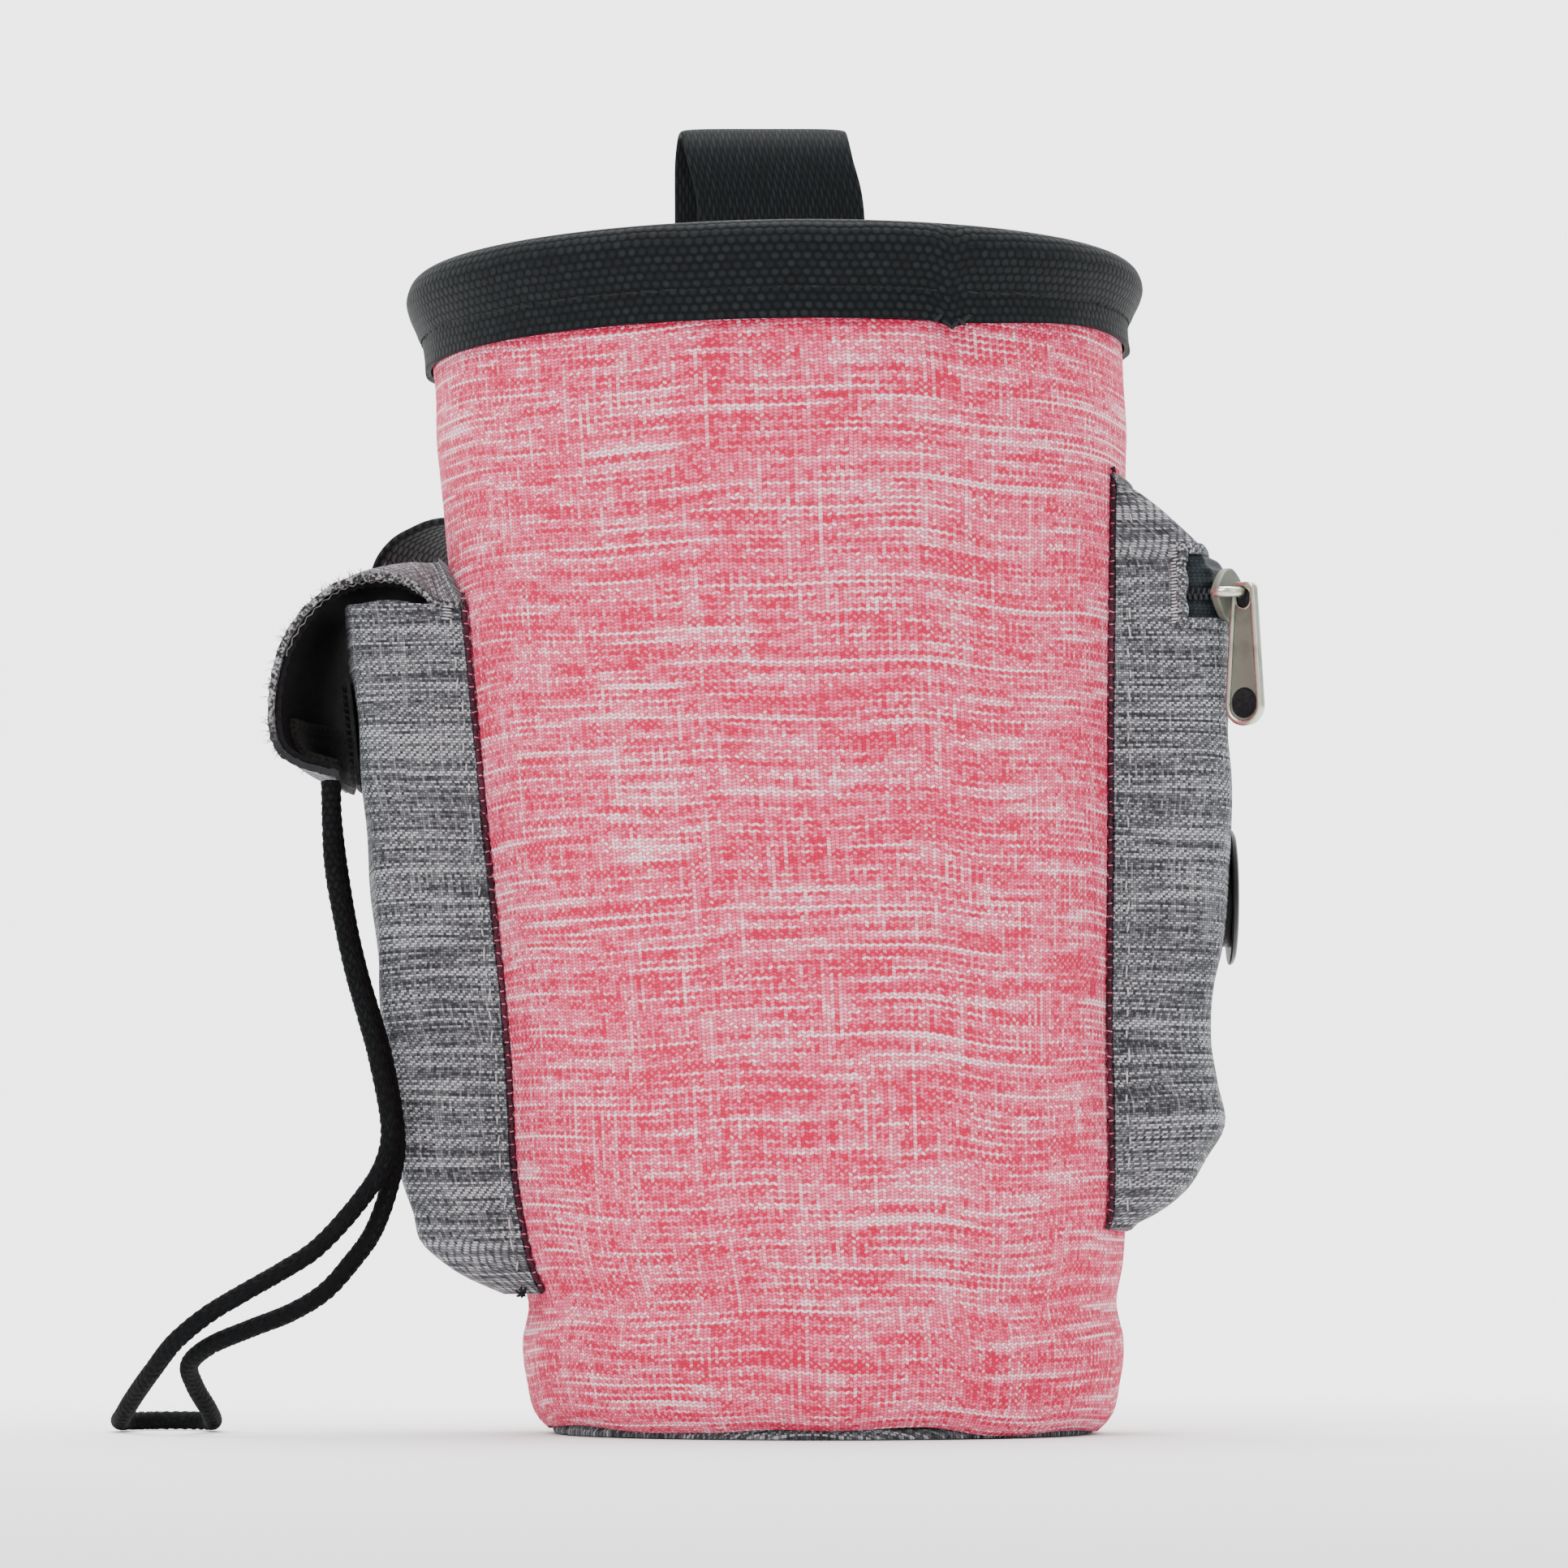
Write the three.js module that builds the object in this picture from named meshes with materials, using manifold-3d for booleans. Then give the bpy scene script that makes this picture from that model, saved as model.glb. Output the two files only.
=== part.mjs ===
// A dog treat pouch: a tapered melange cloth bucket with a webbing rim, a belt loop
// at the back, a flap pocket on the left and a zip pocket on the right.
// Millimetres, +Z up, the front faces -Y, the origin is the centre of the base's underside.
import * as THREE from 'three';
import { mergeVertices } from 'three/addons/utils/BufferGeometryUtils.js';
import Module from 'manifold-3d';

const wasm = await Module();
wasm.setup();

// Driving dimensions
const gap = 0.3;                 // between pieces that touch
const roundSides = 48;

const bodyTopEdge = 186;         // cloth edge inside the folded rim
const bodyTopRadius = 59.6;
const bodyBaseRadius = 50.4;     // at the bulge just above the base
const bodyWall = 2;
const bodyLean = -8.2;           // the mouth's centre lies this far along X
const mouthTilt = 1;             // right end of the mouth up, left end down

const baseThickness = 2;

const rimTop = 195.6;
const rimOverhang = 2.9;         // rim's widest radius beyond the cloth's top edge
const rimRadius = bodyTopRadius + rimOverhang;
const rimHeight = 16;
const rimRollWidth = 7.1;

const webbingThickness = 1.8;
const beltLoopWidth = 30;
const beltLoopRise = 38;         // above the rim
const beltLoopDepth = 9.4;       // clear between the two plies
const beltLoopTail = 56;         // sewn tail below the rim's top
const beltLoopSkew = -4.6;       // the rear ply lies further left
const beltLoopCentre = -6.9;

const sideLoopWidth = 20;
const sideLoopTop = 158;
const sideLoopHeight = 46;
const sideLoopReach = 25;
const sideLoopAzimuth = 146;     // degrees from +X

const pocketHalfWidth = 20;
const pocketWall = 2;
const pocketBulge = 1.2;

const flapPocketTop = 138;
const flapPocketBottom = 15;
const flapPocketDepth = 16.7;
const flapPocketCorner = 3.5;

const flapThickness = 1.6;
const liningThickness = 1.1;
const flapHalfWidth = 21;
const flapRise = 4.8;            // fold above the pocket's mouth
const flapFall = 34.4;
const flapReach = 29.4;          // outermost point, from the body's side
const flapCrown = 9;             // middle of the flap above its drooping edges
const flapSag = 0.8;             // middle of the flap further out than its edges

const patchThickness = 1.3;
const patchHalfWidth = 13;
const patchHeight = 18;
const patchDrop = 30;            // patch's lower edge below the pocket's mouth
const patchBottom = flapPocketTop - patchDrop;

const cordDiameter = 3.2;

const zipPocketTop = 162;
const zipPocketBottom = 30;
const zipPocketDepth = 16.7;
const zipPocketCorner = 5;
const zipWindowDrop = 27;        // window's lower edge below the pocket's top
const zipWindowBottom = zipPocketTop - zipWindowDrop;
const zipWindowHeight = 11.5;
const zipWindowStart = 60.2;     // X where the slit starts on the pocket's front and back
const tapeThickness = 1;
const tapeInset = 0.4;
const coilHeight = 2.2;
const coilThickness = 0.7;
const coilAboveWindow = 4.4;

const sliderAzimuth = -35;       // degrees from +X, where the slider rests on the corner
const sliderLength = 9.5;
const sliderWidth = 7.8;
const sliderThickness = 1.5;
const bridgeSpan = 8.4;
const bridgeThickness = 1.2;
const bridgeClear = 2.1;
const pullLength = 24;
const pullTopWidth = 4.4;
const pullEndWidth = 6.6;
const pullFrame = 0.95;
const pullThickness = 1.7;
const pullWeb = 0.9;

const grommetRadius = 11.5;
const grommetHole = 7;
const grommetSleeve = 8.4;
const grommetFlange = 1.1;
const grommetDrop = 72;          // grommet's centre below the pocket's top
const grommetHeight = zipPocketTop - grommetDrop;

// Shape of the bucket. level: share from its lower to its upper cloth edge,
// spread: 0 at the base radius and 1 at the top radius, lean: share of bodyLean.
const bodySections = [
  { level: 0, spread: -0.52, lean: 0 },
  { level: 0.012, spread: -0.24, lean: 0 },
  { level: 0.035, spread: -0.08, lean: 0 },
  { level: 0.072, spread: 0, lean: 0.01 },
  { level: 0.106, spread: -0.12, lean: 0.03 },
  { level: 0.14, spread: 0.05, lean: 0.1 },
  { level: 0.185, spread: 0.18, lean: 0.17 },
  { level: 0.334, spread: 0.29, lean: 0.31 },
  { level: 0.559, spread: 0.52, lean: 0.55 },
  { level: 0.75, spread: 0.71, lean: 0.74 },
  { level: 0.857, spread: 0.82, lean: 0.82 },
  { level: 0.951, spread: 0.96, lean: 0.9 },
  { level: 1, spread: 1, lean: 1 },
];

// Outer skin of the folded rim, from its outer to its inner lower edge.
// inset: share of rimRollWidth from the widest radius, drop: share of rimHeight from the top.
const rimProfile = [
  { inset: 0.25, drop: 1 },
  { inset: 0.3, drop: 0.8 },
  { inset: 0.2, drop: 0.56 },
  { inset: 0.04, drop: 0.38 },
  { inset: 0, drop: 0.24 },
  { inset: 0.13, drop: 0.08 },
  { inset: 0.4, drop: 0 },
  { inset: 0.72, drop: 0.04 },
  { inset: 0.93, drop: 0.17 },
  { inset: 1, drop: 0.36 },
  { inset: 0.97, drop: 0.6 },
  { inset: 0.97, drop: 1 },
];

// Walls of the two side pockets. level: share from the pocket's lowest to its highest point,
// depth: share of the pocket's depth, counted from the body's side; below zero it is inside.
const flapPocketSections = [
  { level: 0, depth: -0.74 },
  { level: 0.053, depth: -0.04 },
  { level: 0.135, depth: 0.81 },
  { level: 0.176, depth: 0.84 },
  { level: 0.226, depth: 0.93 },
  { level: 0.39, depth: 1 },
  { level: 0.72, depth: 0.976 },
  { level: 1, depth: 1 },
];

const zipPocketSections = [
  { level: 0, depth: -0.72 },
  { level: 0.033, depth: -0.04 },
  { level: 0.052, depth: 0.25 },
  { level: 0.072, depth: 0.455 },
  { level: 0.127, depth: 0.75 },
  { level: 0.157, depth: 0.9 },
  { level: 0.221, depth: 0.85 },
  { level: 0.259, depth: 0.795 },
  { level: 0.297, depth: 0.805 },
  { level: 0.392, depth: 0.935 },
  { level: 0.512, depth: 1 },
  { level: 0.658, depth: 1 },
  { level: 0.795, depth: 0.975 },
  { level: 0.84, depth: 0.93 },
  { level: 0.87, depth: 0.81 },
  { level: 0.902, depth: 0.61 },
  { level: 0.942, depth: 0.23 },
  { level: 0.975, depth: -0.18 },
  { level: 1, depth: -0.78 },
];

// Line of the flap at its front edge. out: share of flapReach from the body's side,
// drop: share of flapFall below the fold's top, crown: share of flapCrown, close: share of
// flapReach that its back edge lies nearer to the pocket.
const flapSections = [
  { out: -0.197, drop: 0.169, crown: 1, close: 0 },
  { out: -0.078, drop: 0.151, crown: 0.9, close: 0 },
  { out: 0.051, drop: 0.134, crown: 0.75, close: 0 },
  { out: 0.129, drop: 0.076, crown: 0.55, close: 0 },
  { out: 0.211, drop: 0.023, crown: 0.4, close: 0 },
  { out: 0.347, drop: 0, crown: 0.3, close: 0 },
  { out: 0.51, drop: 0.012, crown: 0.22, close: 0.014 },
  { out: 0.66, drop: 0.067, crown: 0.18, close: 0.042 },
  { out: 0.806, drop: 0.177, crown: 0.13, close: 0.09 },
  { out: 0.925, drop: 0.334, crown: 0.1, close: 0.155 },
  { out: 0.993, drop: 0.547, crown: 0.06, close: 0.215 },
  { out: 1, drop: 0.738, crown: 0.04, close: 0.235 },
  { out: 0.959, drop: 0.86, crown: 0.02, close: 0.204 },
  { out: 0.864, drop: 0.93, crown: 0, close: 0.124 },
  { out: 0.724, drop: 0.968, crown: 0, close: 0.034 },
  { out: 0.605, drop: 0.991, crown: 0, close: 0 },
];
const liningStart = 0.2;         // share of the flap's length where the lining begins
const flapPatchStart = 0.82;
const flapPatchEnd = 0.985;

// Belt loop, from the sewn end of the front ply to that of the rear one. back: share of the
// clear depth, rise: share of the height above the rim, or below it of the tail, skew: share.
const beltLoopSections = [
  { back: 0, rise: -1, skew: 0 },
  { back: 0, rise: -0.55, skew: 0 },
  { back: 0, rise: -0.28, skew: 0 },
  { back: 0, rise: 0.05, skew: 0 },
  { back: 0, rise: 0.58, skew: 0 },
  { back: 0.06, rise: 0.84, skew: 0.5 },
  { back: 0.28, rise: 0.955, skew: 0.7 },
  { back: 0.5, rise: 0.976, skew: 0.8 },
  { back: 0.74, rise: 0.955, skew: 0.9 },
  { back: 0.95, rise: 0.84, skew: 1 },
  { back: 1, rise: 0.58, skew: 1 },
  { back: 1, rise: 0.05, skew: 1 },
  { back: 0.86, rise: -0.3, skew: 0.9 },
  { back: 0.2, rise: -0.66, skew: 0.6 },
  { back: 0, rise: -1, skew: 0.5 },
];

// Side loop. out: share of its reach from the body, drop: share of its height.
const sideLoopSections = [
  { out: -0.1, drop: 0.07 },
  { out: 0.16, drop: 0.01 },
  { out: 0.34, drop: 0.005 },
  { out: 0.5, drop: 0.03 },
  { out: 0.66, drop: 0.07 },
  { out: 0.82, drop: 0.15 },
  { out: 0.94, drop: 0.28 },
  { out: 1, drop: 0.45 },
  { out: 0.95, drop: 0.63 },
  { out: 0.78, drop: 0.8 },
  { out: 0.5, drop: 0.93 },
  { out: 0.2, drop: 0.985 },
  { out: -0.1, drop: 1 },
];

// The pull cord's route, one loop with both ends at the flap's lower edge
const cordRoute = [
  [-81.9, -19.6, 108.1],
  [-81.2, -21.4, 94.5],
  [-79.6, -22.2, 85.4],
  [-77.7, -23, 76.9],
  [-75.4, -24.4, 69],
  [-73.4, -25.6, 61.9],
  [-71.3, -26.2, 49.8],
  [-72.3, -26, 44.8],
  [-75, -25.6, 40.2],
  [-83.2, -24.4, 31],
  [-89, -23.6, 27.2],
  [-95.4, -22.6, 23.6],
  [-101.6, -21, 19.9],
  [-107, -18, 15.6],
  [-111.4, -12, 10.6],
  [-115.2, -4, 6.2],
  [-117.8, 3.4, 2.9],
  [-119, 11, 1.8],
  [-118, 15.4, 1.7],
  [-115.1, 18.3, 1.7],
  [-111.2, 19.4, 1.7],
  [-107.3, 18.3, 1.7],
  [-104.4, 15.4, 1.7],
  [-103.4, 11.5, 1.9],
  [-103.6, 4, 4.1],
  [-105.1, -4.6, 8.2],
  [-105.2, -12, 11.8],
  [-101, -18.4, 15],
  [-94.2, -20.6, 17.8],
  [-87.6, -21.4, 20.4],
  [-82.2, -21.9, 23.7],
  [-77.9, -22.2, 28.4],
  [-74.1, -22.4, 33.8],
  [-70.7, -22.6, 44.6],
  [-70.5, -22.6, 49.8],
  [-72.6, -21.8, 61.9],
  [-77.1, -19, 76.9],
  [-79.1, -17.8, 85.4],
  [-81.6, -16.1, 101.5],
  [-81.9, -15.6, 108.1],
];
const cordSides = 8;
const cordSteps = 56;

// Helpers

// Reads one column of a table at a place between its rows.
function columnAt(rows, key, place, column) {
  const last = rows.length - 1;
  if (place <= rows[0][key]) return rows[0][column];
  if (place >= rows[last][key]) return rows[last][column];
  const upper = rows.findIndex((row) => row[key] >= place);
  const low = rows[upper - 1];
  const high = rows[upper];
  const share = (place - low[key]) / (high[key] - low[key]);
  return low[column] + share * (high[column] - low[column]);
}

function meshGeometry(points, triangles) {
  const geometry = new THREE.BufferGeometry();
  const numbers = points.flatMap((point) => [point.x, point.y, point.z]);
  geometry.setAttribute('position', new THREE.Float32BufferAttribute(numbers, 3));
  geometry.setIndex(triangles);
  return geometry;
}

// Joins rings of equal length; the first and last rings are capped, or joined if it closes.
function loft(rings, closes = false) {
  const count = rings[0].length;
  const points = rings.flat();
  const triangles = [];
  const spans = closes ? rings.length : rings.length - 1;
  for (let ring = 0; ring < spans; ring += 1) {
    const here = ring * count;
    const next = ((ring + 1) % rings.length) * count;
    for (let side = 0; side < count; side += 1) {
      const after = (side + 1) % count;
      triangles.push(here + side, here + after, next + after);
      triangles.push(here + side, next + after, next + side);
    }
  }
  if (!closes) {
    const start = points.length;
    points.push(centreOf(rings[0]), centreOf(rings[rings.length - 1]));
    const top = (rings.length - 1) * count;
    for (let side = 0; side < count; side += 1) {
      const after = (side + 1) % count;
      triangles.push(start, after, side);
      triangles.push(start + 1, top + side, top + after);
    }
  }
  return meshGeometry(points, triangles);
}

function centreOf(ring) {
  const sum = ring.reduce((total, point) => total.add(point), new THREE.Vector3());
  return sum.divideScalar(ring.length);
}

// Turns a closed geometry into a solid for cutting, with its faces pointing out.
function solidOf(geometry) {
  const bare = geometry.clone();
  bare.deleteAttribute('normal');
  bare.deleteAttribute('uv');
  const merged = mergeVertices(bare, 1e-4);
  const triVerts = Uint32Array.from(merged.index.array);
  const vertProperties = Float32Array.from(merged.attributes.position.array);
  if (volumeOf(vertProperties, triVerts) < 0) {
    for (let first = 0; first < triVerts.length; first += 3) {
      const swapped = triVerts[first + 1];
      triVerts[first + 1] = triVerts[first + 2];
      triVerts[first + 2] = swapped;
    }
  }
  return new wasm.Manifold(new wasm.Mesh({ numProp: 3, vertProperties, triVerts }));
}

function volumeOf(numbers, indices) {
  const corner = (index) => new THREE.Vector3().fromArray(numbers, indices[index] * 3);
  let volume = 0;
  for (let first = 0; first < indices.length; first += 3) {
    volume += corner(first).dot(corner(first + 1).cross(corner(first + 2))) / 6;
  }
  return volume;
}

function geometryOf(solid) {
  const mesh = solid.getMesh();
  const geometry = new THREE.BufferGeometry();
  geometry.setAttribute('position', new THREE.BufferAttribute(mesh.vertProperties, 3));
  geometry.setIndex(new THREE.BufferAttribute(mesh.triVerts, 1));
  return geometry;
}

// A sheet over surface(across, along), both from 0 to 1, thickened along its normal.
function sheet(surface, acrossSteps, alongSteps, thickness) {
  const rings = [];
  for (let row = 0; row <= alongSteps; row += 1) {
    const face = [];
    const back = [];
    for (let column = 0; column <= acrossSteps; column += 1) {
      const point = surface(column / acrossSteps, row / alongSteps);
      const normal = normalOf(surface, column / acrossSteps, row / alongSteps);
      face.push(point);
      back.unshift(point.clone().addScaledVector(normal, thickness));
    }
    rings.push([...face, ...back]);
  }
  return stripLoft(rings);
}

// Joins flat rings whose first half faces the second half, with caps made of strips.
function stripLoft(rings) {
  const count = rings[0].length;
  const points = rings.flat();
  const triangles = [];
  for (let ring = 0; ring < rings.length - 1; ring += 1) {
    for (let side = 0; side < count; side += 1) {
      const after = (side + 1) % count;
      const here = ring * count;
      triangles.push(here + side, here + after, here + count + after);
      triangles.push(here + side, here + count + after, here + count + side);
    }
  }
  const top = (rings.length - 1) * count;
  for (let column = 0; column < count / 2 - 1; column += 1) {
    const far = count - 1 - column;
    triangles.push(column, far, far - 1);
    triangles.push(column, far - 1, column + 1);
    triangles.push(top + column, top + far - 1, top + far);
    triangles.push(top + column, top + column + 1, top + far - 1);
  }
  return meshGeometry(points, triangles);
}

function normalOf(surface, across, along) {
  const step = 0.01;
  const before = surface(Math.max(across - step, 0), along);
  const after = surface(Math.min(across + step, 1), along);
  const below = surface(across, Math.max(along - step, 0));
  const above = surface(across, Math.min(along + step, 1));
  return after.sub(before).cross(above.sub(below)).normalize();
}

function offsetSurface(surface, distance) {
  return (across, along) => {
    const normal = normalOf(surface, across, along);
    return surface(across, along).addScaledVector(normal, distance);
  };
}

// A webbing strip along a path of centres, as wide as the vector given.
function strip(path, widthVector, thickness) {
  const half = widthVector.clone().multiplyScalar(0.5);
  const rings = path.map((point, index) => {
    const before = path[Math.max(index - 1, 0)];
    const after = path[Math.min(index + 1, path.length - 1)];
    const tangent = after.clone().sub(before);
    const normal = tangent.cross(half).normalize().multiplyScalar(thickness / 2);
    return [
      point.clone().add(half).add(normal),
      point.clone().add(half).sub(normal),
      point.clone().sub(half).sub(normal),
      point.clone().sub(half).add(normal),
    ];
  });
  return loft(rings);
}

function boxBetween(low, high) {
  const size = high.map((value, axis) => value - low[axis]);
  const middle = high.map((value, axis) => (value + low[axis]) / 2);
  return new THREE.BoxGeometry(...size).translate(...middle);
}

// The bucket

const bodyBottomEdge = baseThickness + gap;

function bodyAt(height) {
  const level = (height - bodyBottomEdge) / (bodyTopEdge - bodyBottomEdge);
  const spread = columnAt(bodySections, 'level', level, 'spread');
  return {
    centre: bodyLean * columnAt(bodySections, 'level', level, 'lean'),
    radius: bodyBaseRadius + spread * (bodyTopRadius - bodyBaseRadius),
  };
}

// A point round the leaning axis; the mouth's tilt fades out towards the base.
function roundBody(radius, angle, height) {
  const { centre } = bodyAt(height);
  const rise = mouthTilt * (height / rimTop) ** 2 * Math.cos(angle);
  return new THREE.Vector3(
    centre + radius * Math.cos(angle), radius * Math.sin(angle), height + rise);
}

// A ring of profiles [radius, height] swept round the body.
function sweepRound(profile) {
  const rings = [];
  for (let side = 0; side < roundSides; side += 1) {
    const angle = side / roundSides * 2 * Math.PI;
    rings.push(profile.map(([radius, height]) => roundBody(radius, angle, height)));
  }
  return loft(rings, true);
}

const bodyHeights = bodySections.map((row) =>
  bodyBottomEdge + row.level * (bodyTopEdge - bodyBottomEdge));

function makeBodyShell() {
  const outside = bodyHeights.map((height) => [bodyAt(height).radius, height]);
  const inside = outside.map(([radius, height]) => [radius - bodyWall, height]).reverse();
  return sweepRound([...outside, ...inside]);
}

// A full solid of the bucket grown by the clearance, which trims what is sewn to it.
function bodyEnvelope(clearance) {
  const heights = [-gap, ...bodyHeights, rimTop + beltLoopRise];
  const rings = heights.map((height) => {
    const ring = [];
    for (let side = 0; side < roundSides; side += 1) {
      const angle = side / roundSides * 2 * Math.PI;
      ring.push(roundBody(bodyAt(height).radius + clearance, angle, height));
    }
    return ring;
  });
  return solidOf(loft(rings));
}

function makeBasePanel() {
  const radius = bodyAt(bodyBottomEdge).radius - gap;
  const panel = new THREE.CylinderGeometry(radius, radius, baseThickness, roundSides);
  return panel.rotateX(Math.PI / 2).translate(0, 0, baseThickness / 2);
}

function makeRimBand() {
  const skin = rimProfile.map((row) =>
    [rimRadius - row.inset * rimRollWidth, rimTop - row.drop * rimHeight]);
  const slotBottom = rimTop - rimHeight;
  const slotTop = bodyTopEdge + gap;
  const slot = [
    [bodyAt(slotBottom).radius - bodyWall - gap, slotBottom],
    [bodyAt(slotTop).radius - bodyWall - gap, slotTop],
    [bodyAt(slotTop).radius + gap, slotTop],
    [bodyAt(slotBottom).radius + gap, slotBottom],
  ];
  return sweepRound([...skin, ...slot]);
}

// The webbing loops

// Rearmost Y of the pouch at a height, with the rim's roll.
function backAt(height) {
  const rimBottom = rimTop - rimHeight;
  if (height < rimBottom - gap) return bodyAt(height).radius;
  return rimRadius;
}

function makeBeltLoop() {
  const plySpacing = webbingThickness + beltLoopDepth;
  const path = beltLoopSections.map((row, index) => {
    const scale = row.rise < 0 ? beltLoopTail : beltLoopRise;
    const height = rimTop + row.rise * scale;
    const seat = backAt(height) + gap + webbingThickness / 2;
    const isRear = index > beltLoopSections.length / 2;
    const closed = isRear ? webbingThickness + gap : 0;
    const y = seat + Math.max(row.back * plySpacing, closed);
    return new THREE.Vector3(beltLoopCentre + row.skew * beltLoopSkew, y, height);
  });
  return strip(path, new THREE.Vector3(beltLoopWidth, 0, 0), webbingThickness);
}

function makeSideLoop() {
  const angle = THREE.MathUtils.degToRad(sideLoopAzimuth);
  const along = new THREE.Vector3(-Math.sin(angle), Math.cos(angle), 0);
  const path = sideLoopSections.map((row) => {
    const height = sideLoopTop - row.drop * sideLoopHeight;
    const radius = bodyAt(height).radius + row.out * sideLoopReach;
    return roundBody(radius, angle, height);
  });
  return strip(path, along.multiplyScalar(sideLoopWidth), webbingThickness);
}

// The side pockets

// side is -1 for the left pocket and 1 for the right one.
const flapPocket = {
  side: -1,
  sections: flapPocketSections,
  bottom: flapPocketBottom,
  top: flapPocketTop,
  depth: flapPocketDepth,
  corner: flapPocketCorner,
};

const zipPocket = {
  side: 1,
  sections: zipPocketSections,
  bottom: zipPocketBottom,
  top: zipPocketTop,
  depth: zipPocketDepth,
  corner: zipPocketCorner,
};

function bodySide(side, height) {
  const { centre, radius } = bodyAt(height);
  return side * centre + radius;
}

// Distance of a pocket's outer corner from the base's centre, along its own side.
function reachAt(pocket, height) {
  const level = (height - pocket.bottom) / (pocket.top - pocket.bottom);
  const depth = columnAt(pocket.sections, 'level', level, 'depth');
  return bodySide(pocket.side, height) + depth * pocket.depth;
}

// Closed plan outline of a pocket, rooted inside the body.
function planRing(pocket, height, reach, inset) {
  const root = bodyBaseRadius / 2;
  const half = pocketHalfWidth - inset;
  const outer = reach - inset;
  const corner = Math.max(pocket.corner - inset, pocket.corner / 4);
  const cornerSteps = 4;
  const faceSteps = 4;
  const plan = [[root, -half]];
  for (let step = 0; step <= cornerSteps; step += 1) {
    const turn = (step / cornerSteps - 1) * Math.PI / 2;
    plan.push([
      outer - corner + corner * Math.cos(turn), -half + corner + corner * Math.sin(turn)]);
  }
  for (let step = 1; step < faceSteps; step += 1) {
    const share = 2 * step / faceSteps - 1;
    plan.push([outer + pocketBulge * (1 - share * share), share * (half - corner)]);
  }
  for (let step = 0; step <= cornerSteps; step += 1) {
    const turn = step / cornerSteps * Math.PI / 2;
    plan.push([
      outer - corner + corner * Math.cos(turn), half - corner + corner * Math.sin(turn)]);
  }
  plan.push([root, half]);
  return plan.map(([x, y]) => new THREE.Vector3(pocket.side * x, y, height));
}

// Solid inside the pocket's outer skin, shrunk by the inset and lifted off its floor.
function pocketSolid(pocket, inset, lift, openTop) {
  const span = pocket.top - pocket.bottom;
  const rings = pocket.sections.map((row) => {
    const height = pocket.bottom + row.level * span;
    const isFloor = row.level < 0.5;
    const shift = isFloor ? lift : -lift;
    return planRing(pocket, height + shift, reachAt(pocket, height), inset);
  });
  if (openTop) {
    const top = pocket.top;
    rings.pop();
    rings.push(planRing(pocket, top + pocketWall, reachAt(pocket, top), inset));
  }
  return solidOf(loft(rings));
}

const trimBody = bodyEnvelope(gap);

function makeFlapPocket() {
  const outside = pocketSolid(flapPocket, 0, 0, false);
  const inside = pocketSolid(flapPocket, pocketWall, pocketWall, true);
  const flapRoom = solidOf(sheet(
    offsetSurface(flapSurface, -gap), flapColumns, flapRows, flapThickness + 2 * gap));
  return geometryOf(outside.subtract(inside).subtract(trimBody).subtract(flapRoom));
}

function zipWindow(clearance) {
  const far = 2 * (zipWindowStart + zipPocketDepth);
  return solidOf(boxBetween(
    [zipWindowStart + clearance, -pocketHalfWidth * 2, zipWindowBottom + clearance],
    [far, pocketHalfWidth * 2, zipWindowBottom + zipWindowHeight - clearance]));
}

function makeZipPocket() {
  const outside = pocketSolid(zipPocket, 0, 0, false);
  const inside = pocketSolid(zipPocket, pocketWall, pocketWall, false);
  return geometryOf(outside.subtract(inside).subtract(trimBody).subtract(zipWindow(0))
    .subtract(solidOf(grommetGeometry(0, gap))));
}

function makeZipperTape() {
  const outside = pocketSolid(zipPocket, tapeInset, 0, false);
  const inside = pocketSolid(zipPocket, tapeInset + tapeThickness, 0, false);
  return geometryOf(outside.subtract(inside).intersect(zipWindow(gap)));
}

const coilMiddle = zipWindowBottom + coilAboveWindow;

function makeZipperCoil() {
  const outside = pocketSolid(zipPocket, tapeInset - gap - coilThickness, 0, false);
  const inside = pocketSolid(zipPocket, tapeInset - gap, 0, false);
  const far = 2 * (zipWindowStart + zipPocketDepth);
  const band = solidOf(boxBetween(
    [zipWindowStart + gap, -pocketHalfWidth * 2, coilMiddle - coilHeight / 2],
    [far, pocketHalfWidth * 2, coilMiddle + coilHeight / 2]));
  return geometryOf(outside.subtract(inside).intersect(band));
}

// The flap, its lining and the closure's two halves

const flapColumns = 8;
const flapRows = 22;
const flapRows01 = flapSections.map((row, index) =>
  ({ ...row, place: index / (flapSections.length - 1) }));

// across runs from the back edge to the front one, along from the body to the free end.
function flapSurface(across, along) {
  const y = (1 - 2 * across) * flapHalfWidth;
  const middle = 1 - (2 * across - 1) ** 2;
  const out = columnAt(flapRows01, 'place', along, 'out');
  const drop = columnAt(flapRows01, 'place', along, 'drop');
  const crown = columnAt(flapRows01, 'place', along, 'crown');
  const close = columnAt(flapRows01, 'place', along, 'close') * (1 - across);
  const reach = bodySide(-1, flapPocketTop) + (out - close) * flapReach + flapSag * middle * along;
  const height = flapPocketTop + flapRise - drop * flapFall + crown * flapCrown * middle;
  return new THREE.Vector3(-reach, y, height);
}

function flapPart(inner, start, end, halfWidth) {
  const margin = (1 - halfWidth / flapHalfWidth) / 2;
  return (across, along) => {
    const place = start + along * (end - start);
    return offsetSurface(flapSurface, inner)(margin + across * (1 - 2 * margin), place);
  };
}

function makePocketFlap() {
  const flap = solidOf(sheet(flapSurface, flapColumns, flapRows, flapThickness));
  return geometryOf(flap.subtract(trimBody));
}

function makeFlapLining() {
  const surface = flapPart(flapThickness + gap, liningStart, 1, flapHalfWidth - 1);
  return geometryOf(solidOf(sheet(surface, 6, 16, liningThickness)).subtract(trimBody));
}

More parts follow.
